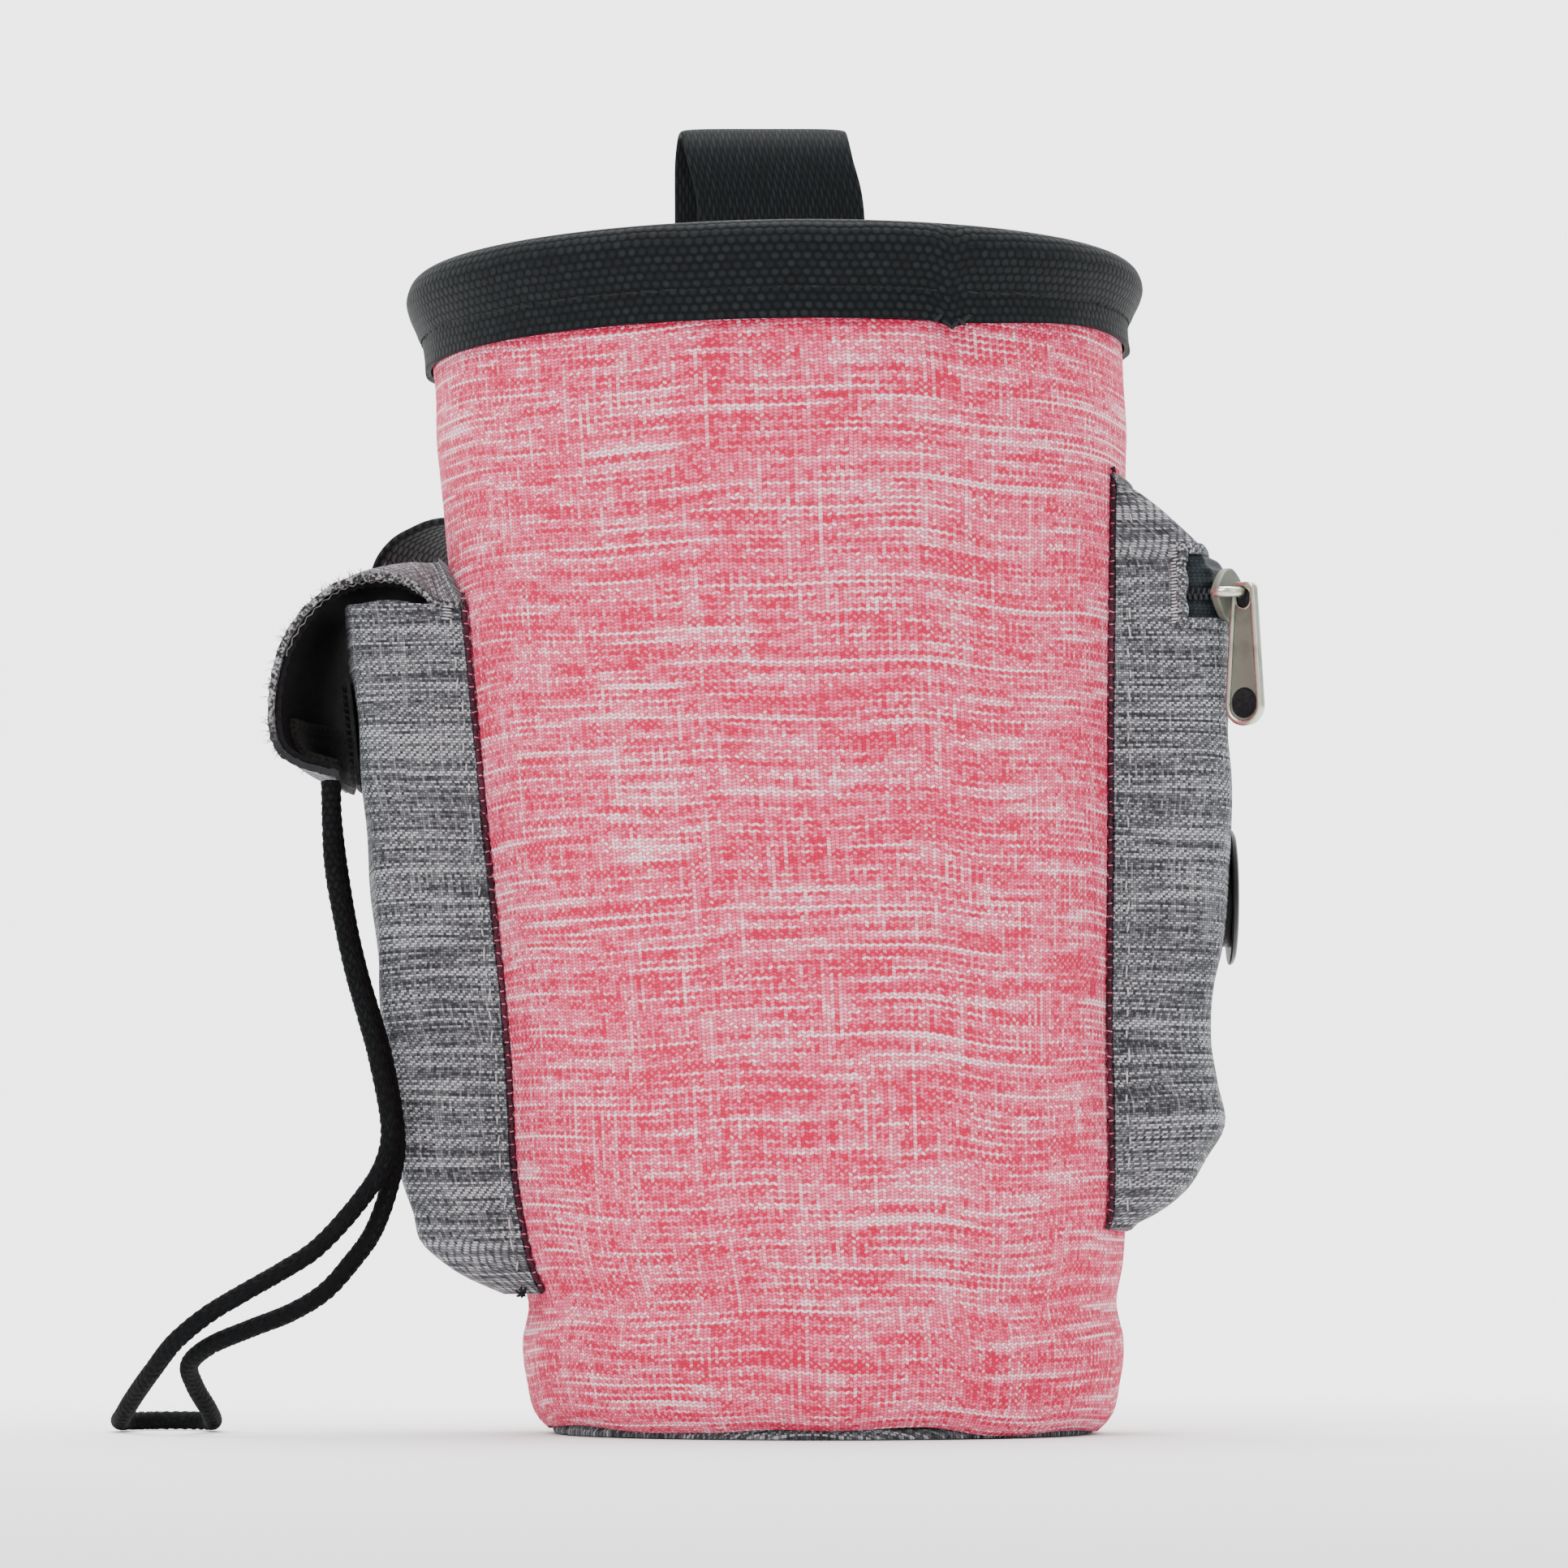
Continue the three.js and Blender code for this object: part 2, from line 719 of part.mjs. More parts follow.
// A patch across the lining's curled end, straight between its upper and lower edges.
function makeFlapPatch() {
  const inner = flapPart(
    flapThickness + liningThickness + 2 * gap, flapPatchStart, flapPatchEnd, patchHalfWidth);
  const surface = (across, along) =>
    inner(across, 0).lerp(inner(across, 1), along).setY((1 - 2 * across) * patchHalfWidth);
  return sheet(surface, 4, 1, patchThickness);
}

function makePocketPatch() {
  const flat = pocketHalfWidth - flapPocketCorner;
  const surface = (across, along) => {
    const y = (1 - 2 * across) * patchHalfWidth;
    const height = patchBottom + along * patchHeight;
    const bulge = pocketBulge * (1 - (y / flat) ** 2);
    return new THREE.Vector3(-reachAt(flapPocket, height) - bulge - gap, y, height);
  };
  return sheet(surface, 6, 3, patchThickness);
}

// The pull cord

function makePullCord() {
  const section = new THREE.Shape();
  for (let side = 0; side < cordSides; side += 1) {
    const angle = side / cordSides * 2 * Math.PI;
    const x = cordDiameter / 2 * Math.cos(angle);
    const y = cordDiameter / 2 * Math.sin(angle);
    if (side === 0) section.moveTo(x, y);
    else section.lineTo(x, y);
  }
  section.closePath();
  const route = new THREE.CatmullRomCurve3(
    cordRoute.map((point) => new THREE.Vector3(...point)), false, 'centripetal');
  return new THREE.ExtrudeGeometry(section, { steps: cordSteps, extrudePath: route });
}

// The zip's slider and pull, in a frame on the pocket's front corner:
// X along the zip, Y up and Z out of the pocket.

const outward = new THREE.Vector3(
  Math.cos(THREE.MathUtils.degToRad(sliderAzimuth)),
  Math.sin(THREE.MathUtils.degToRad(sliderAzimuth)), 0);
const upward = new THREE.Vector3(0, 0, 1);
const alongZip = upward.clone().cross(outward);
const cornerCentre = new THREE.Vector3(
  reachAt(zipPocket, coilMiddle) - zipPocketCorner, -pocketHalfWidth + zipPocketCorner, coilMiddle);
const coilCrest = zipPocketCorner - tapeInset + gap + coilThickness;
const sliderSeat = cornerCentre.clone().addScaledVector(outward, coilCrest + gap);
const sliderFrame = new THREE.Matrix4().makeBasis(alongZip, upward, outward)
  .setPosition(sliderSeat);
const bridgeAxisHeight = sliderThickness + bridgeClear + bridgeThickness / 2;

function flatSolid(shape, thickness, curveSegments = 6) {
  const geometry = new THREE.ExtrudeGeometry(shape, {
    depth: thickness, bevelEnabled: false, curveSegments });
  return geometry;
}

function makeZipSlider() {
  const leaf = new THREE.Shape();
  const halfLength = sliderLength / 2;
  const halfWidth = sliderWidth / 2;
  leaf.moveTo(-halfLength, -halfWidth * 0.55);
  leaf.quadraticCurveTo(0, -halfWidth * 0.8, halfLength * 0.55, -halfWidth);
  leaf.quadraticCurveTo(halfLength, -halfWidth * 0.5, halfLength * 0.8, 0);
  leaf.quadraticCurveTo(halfLength, halfWidth * 0.5, halfLength * 0.55, halfWidth);
  leaf.quadraticCurveTo(0, halfWidth * 0.8, -halfLength, halfWidth * 0.55);
  leaf.closePath();
  const body = solidOf(flatSolid(leaf, sliderThickness));
  const arch = new THREE.Shape();
  const foot = sliderThickness / 2;
  const top = sliderThickness + bridgeClear + bridgeThickness;
  const half = bridgeSpan / 2;
  arch.moveTo(-half, foot);
  arch.lineTo(-half * 0.92, top * 0.72);
  arch.lineTo(-half * 0.66, top);
  arch.lineTo(half * 0.66, top);
  arch.lineTo(half * 0.92, top * 0.72);
  arch.lineTo(half, foot);
  arch.lineTo(half - bridgeThickness, foot);
  arch.lineTo(half * 0.92 - bridgeThickness, top * 0.62);
  arch.lineTo(half * 0.5, top - bridgeThickness);
  arch.lineTo(-half * 0.5, top - bridgeThickness);
  arch.lineTo(-half * 0.92 + bridgeThickness, top * 0.62);
  arch.lineTo(-half + bridgeThickness, foot);
  arch.closePath();
  const bridge = flatSolid(arch, bridgeThickness);
  bridge.rotateX(Math.PI / 2).translate(0, bridgeThickness / 2, 0);
  return geometryOf(body.add(solidOf(bridge)));
}

// The pull hangs from its own origin on the bridge's axis: X out of the pocket, Y up.
const pullHeadRise = bridgeThickness / 2 + gap + pullFrame;

function pullOutline(inset) {
  const outline = new THREE.Shape();
  const topHalf = pullTopWidth / 2 - inset;
  const endHalf = pullEndWidth / 2 - inset;
  const top = pullHeadRise - inset;
  const end = pullHeadRise - pullLength + pullEndWidth / 2;
  outline.moveTo(-topHalf * 0.6, top);
  outline.lineTo(topHalf * 0.6, top);
  outline.quadraticCurveTo(topHalf, top, topHalf, top - topHalf * 0.5);
  outline.lineTo(endHalf, end);
  outline.absarc(0, end, endHalf, 0, -Math.PI, true);
  outline.lineTo(-topHalf, top - topHalf * 0.5);
  outline.quadraticCurveTo(-topHalf, top, -topHalf * 0.6, top);
  return outline;
}

function slotOutline(halfWidth, low, high) {
  const slot = new THREE.Shape();
  slot.moveTo(-halfWidth, high - halfWidth * 0.5);
  slot.lineTo(-halfWidth, low + halfWidth);
  slot.absarc(0, low + halfWidth, halfWidth, Math.PI, 2 * Math.PI, false);
  slot.lineTo(halfWidth, high - halfWidth * 0.5);
  slot.lineTo(halfWidth * 0.6, high);
  slot.lineTo(-halfWidth * 0.6, high);
  slot.closePath();
  return slot;
}

function makeZipPull() {
  const eyeHalf = pullTopWidth / 2 - pullFrame;
  const eyeTop = pullHeadRise - pullFrame;
  const eyeLow = eyeTop - 1.6 * pullTopWidth / 2;
  const endHalf = pullEndWidth / 2 - pullFrame;
  const end = pullHeadRise - pullLength + pullEndWidth / 2;
  const whole = solidOf(flatSolid(pullOutline(0), pullThickness));
  const recess = solidOf(flatSolid(pullOutline(pullFrame), pullThickness));
  const depth = (pullThickness + pullWeb) / 2;
  const eye = flatSolid(slotOutline(eyeHalf, eyeLow, eyeTop), 3 * pullThickness);
  const window = flatSolid(
    slotOutline(endHalf, end - endHalf, end + 1.3 * endHalf), 3 * pullThickness);
  const through = [eye, window].map((hole) => solidOf(hole.translate(0, 0, -pullThickness)));
  const solid = whole.subtract(recess.translate(0, 0, depth))
    .subtract(recess.translate(0, 0, -depth))
    .subtract(through[0]).subtract(through[1]);
  return geometryOf(solid).translate(0, 0, -pullThickness / 2);
}

// The grommet, through the zip pocket's outer wall

// With a bore of 0 and a clearance it is the room that the wall leaves for the grommet.
function grommetGeometry(bore, clearance) {
  const front = grommetFlange + gap + clearance;
  const back = -pocketWall - gap - grommetFlange - clearance;
  const rim = grommetRadius + clearance;
  const sleeve = grommetSleeve + clearance;
  const profile = [
    [bore, back],
    [rim, back],
    [rim, back + grommetFlange + 2 * clearance],
    [sleeve, back + grommetFlange + 2 * clearance],
    [sleeve, front - grommetFlange - 2 * clearance],
    [rim, front - grommetFlange - 2 * clearance],
    [rim - grommetFlange / 2, front],
    [bore, front],
    [bore, back],
  ].map(([radius, height]) => new THREE.Vector2(radius, height));
  const ring = new THREE.LatheGeometry(profile, 24);
  const seat = reachAt(zipPocket, grommetHeight) + pocketBulge;
  return ring.rotateZ(-Math.PI / 2).translate(seat, 0, grommetHeight);
}

// Materials and the scene graph

const pink = { color: 0xe0788c, roughness: 0.95, metalness: 0 };
const gray = { color: 0x86868a, roughness: 0.95, metalness: 0 };
const blackWebbing = { color: 0x1e2426, roughness: 0.8, metalness: 0 };
const blackCloth = { color: 0x17191b, roughness: 0.95, metalness: 0 };
const nickel = { color: 0xc8c3b9, roughness: 0.25, metalness: 1 };
const blackEnamel = { color: 0x141517, roughness: 0.35, metalness: 0.6 };

function piece(name, geometry, look) {
  const mesh = new THREE.Mesh(geometry, new THREE.MeshStandardMaterial(look));
  mesh.name = name;
  return mesh;
}

const pouch = new THREE.Group();
pouch.add(piece('body_shell', geometryOf(solidOf(makeBodyShell())), pink));
pouch.add(piece('base_panel', makeBasePanel(), gray));
pouch.add(piece('rim_band', geometryOf(solidOf(makeRimBand())), blackWebbing));
pouch.add(piece('belt_loop', geometryOf(solidOf(makeBeltLoop())), blackWebbing));
pouch.add(piece('side_loop', geometryOf(solidOf(makeSideLoop()).subtract(trimBody)), blackWebbing));
pouch.add(piece('flap_pocket', makeFlapPocket(), gray));
pouch.add(piece('pocket_flap', makePocketFlap(), gray));
pouch.add(piece('flap_lining', makeFlapLining(), blackCloth));
pouch.add(piece('flap_patch', geometryOf(solidOf(makeFlapPatch())), blackCloth));
pouch.add(piece('pocket_patch', geometryOf(solidOf(makePocketPatch())), blackCloth));
pouch.add(piece('pull_cord', makePullCord(), blackWebbing));
pouch.add(piece('zip_pocket', makeZipPocket(), gray));
pouch.add(piece('zipper_tape', makeZipperTape(), blackWebbing));
pouch.add(piece('zipper_coil', makeZipperCoil(), blackWebbing));
pouch.add(piece('bag_grommet', grommetGeometry(grommetHole, 0), blackEnamel));

const sliderGroup = new THREE.Group();
sliderGroup.applyMatrix4(sliderFrame);
sliderGroup.add(piece('zip_slider', makeZipSlider(), nickel));
const pull = piece('zip_pull', makeZipPull(), nickel);
pull.position.set(0, 0, bridgeAxisHeight);
pull.rotation.set(0, -Math.PI / 2, 0);
sliderGroup.add(pull);
pouch.add(sliderGroup);

export default pouch;
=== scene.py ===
import math
import bmesh
import bpy
import numpy as np
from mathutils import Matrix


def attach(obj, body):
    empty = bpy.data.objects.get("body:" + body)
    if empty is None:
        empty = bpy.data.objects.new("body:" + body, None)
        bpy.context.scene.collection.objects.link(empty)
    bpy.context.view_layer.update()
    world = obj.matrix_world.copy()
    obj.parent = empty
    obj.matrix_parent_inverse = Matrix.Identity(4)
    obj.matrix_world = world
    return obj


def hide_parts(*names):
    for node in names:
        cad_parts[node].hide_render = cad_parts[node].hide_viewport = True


# Dog treat pouch. Shapes are worked out in millimetres and made in metres,
# +Z up, the front towards -Y, the origin under the middle of the base.

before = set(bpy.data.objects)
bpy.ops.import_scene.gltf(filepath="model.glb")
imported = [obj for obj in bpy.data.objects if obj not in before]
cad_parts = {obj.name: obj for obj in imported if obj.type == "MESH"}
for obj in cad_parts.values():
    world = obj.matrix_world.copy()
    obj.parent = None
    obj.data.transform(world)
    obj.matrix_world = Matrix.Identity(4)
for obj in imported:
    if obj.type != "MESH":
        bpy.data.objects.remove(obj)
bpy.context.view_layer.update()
dice = np.random.default_rng(7)
mm = 0.001


# Small tools

def readSmooth(places, values, at):
    # cubic between the table's rows, each row's slope being the weighted mean of its neighbours'
    places = np.asarray(places, float)
    values = np.asarray(values, float)
    at = np.clip(np.asarray(at, float), places[0], places[-1])
    steps = np.diff(places)
    rises = np.diff(values) / steps
    slopes = np.empty_like(values)
    slopes[1:-1] = (rises[:-1] * steps[1:] + rises[1:] * steps[:-1]) / (steps[1:] + steps[:-1])
    slopes[0] = rises[0]
    slopes[-1] = rises[-1]
    row = np.clip(np.searchsorted(places, at, side="right") - 1, 0, len(places) - 2)
    share = (at - places[row]) / steps[row]
    lowSlope = slopes[row] * steps[row]
    highSlope = slopes[row + 1] * steps[row]
    low = (2 * share ** 3 - 3 * share ** 2 + 1) * values[row] + (share ** 3 - 2 * share ** 2
                                                                 + share) * lowSlope
    high = (3 * share ** 2 - 2 * share ** 3) * values[row + 1] + (share ** 3 - share ** 2) * highSlope
    return low + high


def step01(low, high, value):
    share = np.clip((value - low) / (high - low), 0, 1)
    return share * share * (3 - 2 * share)


def gridQuads(rows, columns):
    # the four corner numbers of every square between neighbouring rows and columns
    row = np.arange(rows - 1)[:, None]
    column = np.arange(columns - 1)[None, :]
    corner = row * columns + column
    return np.stack([corner, corner + 1, corner + columns + 1, corner + columns], axis=-1).reshape(-1, 4)


def unit(vectors):
    return vectors / np.maximum(np.linalg.norm(vectors, axis=-1, keepdims=True), 1e-9)


def gridNormals(points):
    return unit(np.cross(np.gradient(points, axis=1), np.gradient(points, axis=0)))


def readLine(line, run, at):
    # the points of a line at the given lengths along it
    return np.stack([np.interp(at, run, line[:, axis]) for axis in range(3)], axis=1)


def arcLengths(points, axis):
    # length run along one axis of a grid, from its first row or column
    step = np.linalg.norm(np.diff(points, axis=axis), axis=-1)
    first = np.zeros_like(np.take(step, [0], axis=axis))
    return np.concatenate([first, np.cumsum(step, axis=axis)], axis=axis)


def clothUv(points):
    # the weave's coordinates: millimetres across and millimetres up, both measured on the cloth
    across = arcLengths(points, 1)
    across = across - across[:, across.shape[1] // 2][:, None]
    return np.stack([across, arcLengths(points, 0)], axis=-1)


def closeShell(count, quads):
    # outer skin, inner skin turned round, and one strip along every free edge
    starts = quads.ravel()
    ends = np.roll(quads, -1, axis=1).ravel()
    free = ~np.isin(starts * count + ends, ends * count + starts)
    a = starts[free]
    b = ends[free]
    strips = np.stack([b, a, a + count, b + count], axis=1)
    return np.vstack([quads, quads[:, ::-1] + count, strips])


def makePiece(name, points, faces, uv, materials, slot, replaced=(), choice=None, extras=None,
              sharpDegrees=45, bevel=0, mend=False, body="pouch", weld=2e-7):
    # one mesh from arrays; doubles at seams and poles are welded, each loop keeps its own UV.
    # the metal pieces have polygons of any size and no UV
    mesh = bpy.data.meshes.new(name)
    mesh.from_pydata((points * mm).tolist(), [], faces if uv is None else faces.tolist())
    if uv is not None:
        mesh.uv_layers.new(name="cloth").uv.foreach_set("vector", uv[faces.ravel()].ravel())
    for title, values in (extras or {}).items():
        mesh.attributes.new(title, "FLOAT", "POINT").data.foreach_set("value", values)
    for material in materials:
        mesh.materials.append(material)
    if choice is not None:
        mesh.polygons.foreach_set("material_index", choice)
    work = bmesh.new()
    work.from_mesh(mesh)
    bmesh.ops.remove_doubles(work, verts=work.verts, dist=weld)
    if mend:
        bmesh.ops.recalc_face_normals(work, faces=work.faces)
    work.to_mesh(mesh)
    work.free()
    mesh.polygons.foreach_set("use_smooth", np.ones(len(mesh.polygons), bool))
    mesh.set_sharp_from_angle(angle=math.radians(sharpDegrees))
    piece = bpy.data.objects.new(name, mesh)
    bpy.context.scene.collection.objects.link(piece)
    if bevel:
        edge = piece.modifiers.new("soft edges", "BEVEL")
        edge.width = bevel * mm
        edge.segments = 2
        edge.limit_method = "ANGLE"
        edge.angle_limit = math.radians(50)
    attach(piece, body)
    if replaced:
        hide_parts(*replaced)
    return piece


def clothShell(outer, inner, keep, level):
    # a thick sheet from its two skins; keep chooses the squares that stay, and a level weave
    # is measured straight up
    rows, columns = outer.shape[:2]
    quads = gridQuads(rows, columns)
    if keep is not None:
        quads = quads[keep.ravel()]
    points = np.vstack([outer.reshape(-1, 3), inner.reshape(-1, 3)])
    uv = clothUv(outer)
    if level:
        uv[..., 1] = outer[..., 2]
    uv = uv.reshape(-1, 2)
    faces = closeShell(rows * columns, quads)
    choice = np.zeros(len(faces), int)
    choice[len(quads):2 * len(quads)] = 1
    return points, faces, np.vstack([uv, uv]), choice


def frameAlong(path, reference):
    # tangent, side and lift at each point of a path, the lift being as near the reference as it can be
    tangent = unit(np.gradient(path, axis=0))
    side = unit(np.cross(tangent, np.asarray(reference, float)))
    return tangent, side, np.cross(side, tangent)


def tubeGrid(path, reference, width, height, sides):
    # an oval carried along a path: centre + side * width/2 * cos + lift * height/2 * sin
    _, side, lift = frameAlong(path, reference)
    turn = np.linspace(0, 2 * np.pi, sides + 1)
    halfWidth = np.broadcast_to(np.asarray(width, float) / 2, (len(path),))[:, None, None]
    halfHeight = np.broadcast_to(np.asarray(height, float) / 2, (len(path),))[:, None, None]
    ring = (side[:, None] * np.cos(turn)[None, :, None] * halfWidth
            + lift[:, None] * np.sin(turn)[None, :, None] * halfHeight)
    points = path[:, None] + ring
    ends = [np.repeat(path[:1, None], sides + 1, axis=1), np.repeat(path[-1:, None], sides + 1, axis=1)]
    return np.concatenate([ends[0], points, ends[1]])


def joinGrids(grids):
    # several grids as one mesh, each with its own run of corner numbers
    points = []
    faces = []
    uv = []
    count = 0
    for grid in grids:
        rows, columns = grid.shape[:2]
        points.append(grid.reshape(-1, 3))
        faces.append(gridQuads(rows, columns) + count)
        uv.append(np.stack([arcLengths(grid, 1), arcLengths(grid, 0)], axis=-1).reshape(-1, 2))
        count += rows * columns
    return np.vstack(points), np.vstack(faces), np.vstack(uv)


def stitchGrids(centres, alongs, ups, lengths, widths, heights):
    # one small pill per stitch: along * s + a round section that shrinks to nothing at both ends
    count = len(centres)
    alongs = unit(np.broadcast_to(np.asarray(alongs, float), (count, 3)))
    sides = unit(np.cross(np.broadcast_to(np.asarray(ups, float), (count, 3)), alongs))
    ups = np.cross(alongs, sides)
    share = np.linspace(-1, 1, 6)
    swell = np.sqrt(np.maximum(1 - share ** 4, 0))
    turn = np.linspace(0, 2 * np.pi, 7)
    sizes = [np.broadcast_to(np.asarray(value, float), (count,))[:, None, None, None] / 2
             for value in (lengths, widths, heights)]
    points = (centres[:, None, None]
              + alongs[:, None, None] * sizes[0] * share[None, :, None, None]
              + sides[:, None, None] * sizes[1] * (swell[:, None] * np.cos(turn))[None, :, :, None]
              + ups[:, None, None] * sizes[2] * (swell[:, None] * np.sin(turn))[None, :, :, None])
    return points


def makeRows(name, grids, material, slot, replaced=()):
    # many small grids of one size as one piece, without a weave
    count, rows, columns = grids.shape[:3]
    faces = gridQuads(rows, columns)[None] + (np.arange(count) * rows * columns)[:, None, None]
    points = grids.reshape(-1, 3)
    makePiece(name, points, faces.reshape(-1, 4), np.zeros((len(points), 2)), [material], slot, replaced,
              sharpDegrees=180, mend=True)


def layStitches(name, runs, material, slot, replaced=()):
    makeRows(name, np.concatenate([stitchGrids(*run) for run in runs]), material, slot, replaced)


def makeTubes(name, grids, material, slot, replaced=(), sharpDegrees=180):
    # round strands and rolls as one piece
    points, faces, uv = joinGrids(grids)
    return makePiece(name, points, faces, uv, [material], slot, replaced, sharpDegrees=sharpDegrees,
                     mend=True)


def makeSweep(name, grid, uv, materials, slot, replaced, **settings):
    # one grid as a piece
    makePiece(name, grid.reshape(-1, 3), gridQuads(*grid.shape[:2]), uv.reshape(-1, 2), materials, slot,
              replaced, **settings)


def makeCloth(name, outer, inner, materials, slot, replaced, keep=None, level=False, **settings):
    # a sheet with two skins as a piece; a second material is its lining
    points, faces, uv, choice = clothShell(outer, inner, keep, level)
    makePiece(name, points, faces, uv, materials, slot, replaced, choice if len(materials) > 1 else None,
              **settings)


# The camera stands low in front and looks slightly up

view = {"across": -6.6, "back": 1063.3, "height": 28.0, "pitch": 4.366, "lens": 144.88}

cameraData = bpy.data.cameras.new("camera")
cameraData.lens = view["lens"]
cameraData.sensor_width = 36.0
cameraData.clip_end = 50.0
camera = bpy.data.objects.new("camera", cameraData)
camera.location = (view["across"] * mm, -view["back"] * mm, view["height"] * mm)
camera.rotation_euler = (math.radians(90 + view["pitch"]), 0, 0)
bpy.context.scene.collection.objects.link(camera)
bpy.context.scene.camera = camera
print("camera set")


# Shader groups

class NodeSheet:
    # short words for placing and joining nodes in one tree
    def __init__(self, tree):
        self.tree = tree

    def add(self, kind, **settings):
        node = self.tree.nodes.new(kind)
        for key, value in settings.items():
            setattr(node, key, value)
        return node

    def put(self, socket, value):
        if isinstance(value, bpy.types.NodeSocket):
            self.tree.links.new(value, socket)
        else:
            socket.default_value = value

    def math(self, operation, *values):
        node = self.add("ShaderNodeMath", operation=operation)
        for socket, value in zip(node.inputs, values):
            self.put(socket, value)
        return node.outputs[0]

    def plus(self, first, second):
        return self.math("ADD", first, second)

    def minus(self, first, second):
        return self.math("SUBTRACT", first, second)

    def times(self, first, second):
        return self.math("MULTIPLY", first, second)

    def between(self, data, socket, share, first, second):
        # a Mix node's inputs start at socket 2 for numbers and at 6 for colours
        node = self.add("ShaderNodeMix", data_type=data)
        self.put(node.inputs[0], share)
        self.put(node.inputs[socket], first)
        self.put(node.inputs[socket + 1], second)
        return node

    def mix(self, share, first, second):
        return self.between("RGBA", 6, share, first, second).outputs[2]

    def blend(self, share, first, second):
        return self.between("FLOAT", 2, share, first, second).outputs[0]

    def join(self, *values):
        node = self.add("ShaderNodeCombineXYZ")
        for socket, value in zip(node.inputs, values):
            self.put(socket, value)
        return node.outputs[0]

    def split(self, vector):
        node = self.add("ShaderNodeSeparateXYZ")
        self.put(node.inputs[0], vector)
        return list(node.outputs)

    def noise(self, vector, scale=1.0, detail=2.0, roughness=0.5):
        node = self.add("ShaderNodeTexNoise")
        self.put(node.inputs["Vector"], vector)
        node.inputs["Scale"].default_value = scale
        node.inputs["Detail"].default_value = detail
        node.inputs["Roughness"].default_value = roughness
        return node.outputs["Fac"]

    def white(self, vector):
        node = self.add("ShaderNodeTexWhiteNoise")
        node.noise_dimensions = "3D"
        self.put(node.inputs["Vector"], vector)
        return node.outputs["Value"]

    def ramp(self, value, low, high):
        node = self.add("ShaderNodeMapRange", interpolation_type="SMOOTHSTEP")
        self.put(node.inputs["Value"], value)
        node.inputs["From Min"].default_value = low
        node.inputs["From Max"].default_value = high
        return node.outputs["Result"]


def startGroup(name, inputs):
    # every group gives a colour, a height for the bump and a roughness; an input's start value
    # says its kind
    kinds = {type(None): "Vector", float: "Float", tuple: "Color"}
    group = bpy.data.node_groups.new(name, "ShaderNodeTree")
    for title, value in inputs.items():
        socket = group.interface.new_socket(name=title, in_out="INPUT",
                                            socket_type="NodeSocket" + kinds[type(value)])
        if value is not None:
            socket.default_value = value
    for title, kind in (("Color", "Color"), ("Height", "Float"), ("Roughness", "Float")):
        group.interface.new_socket(name=title, in_out="OUTPUT", socket_type="NodeSocket" + kind)
    sheet = NodeSheet(group)
    return group, sheet, sheet.add("NodeGroupInput").outputs, sheet.add("NodeGroupOutput").inputs


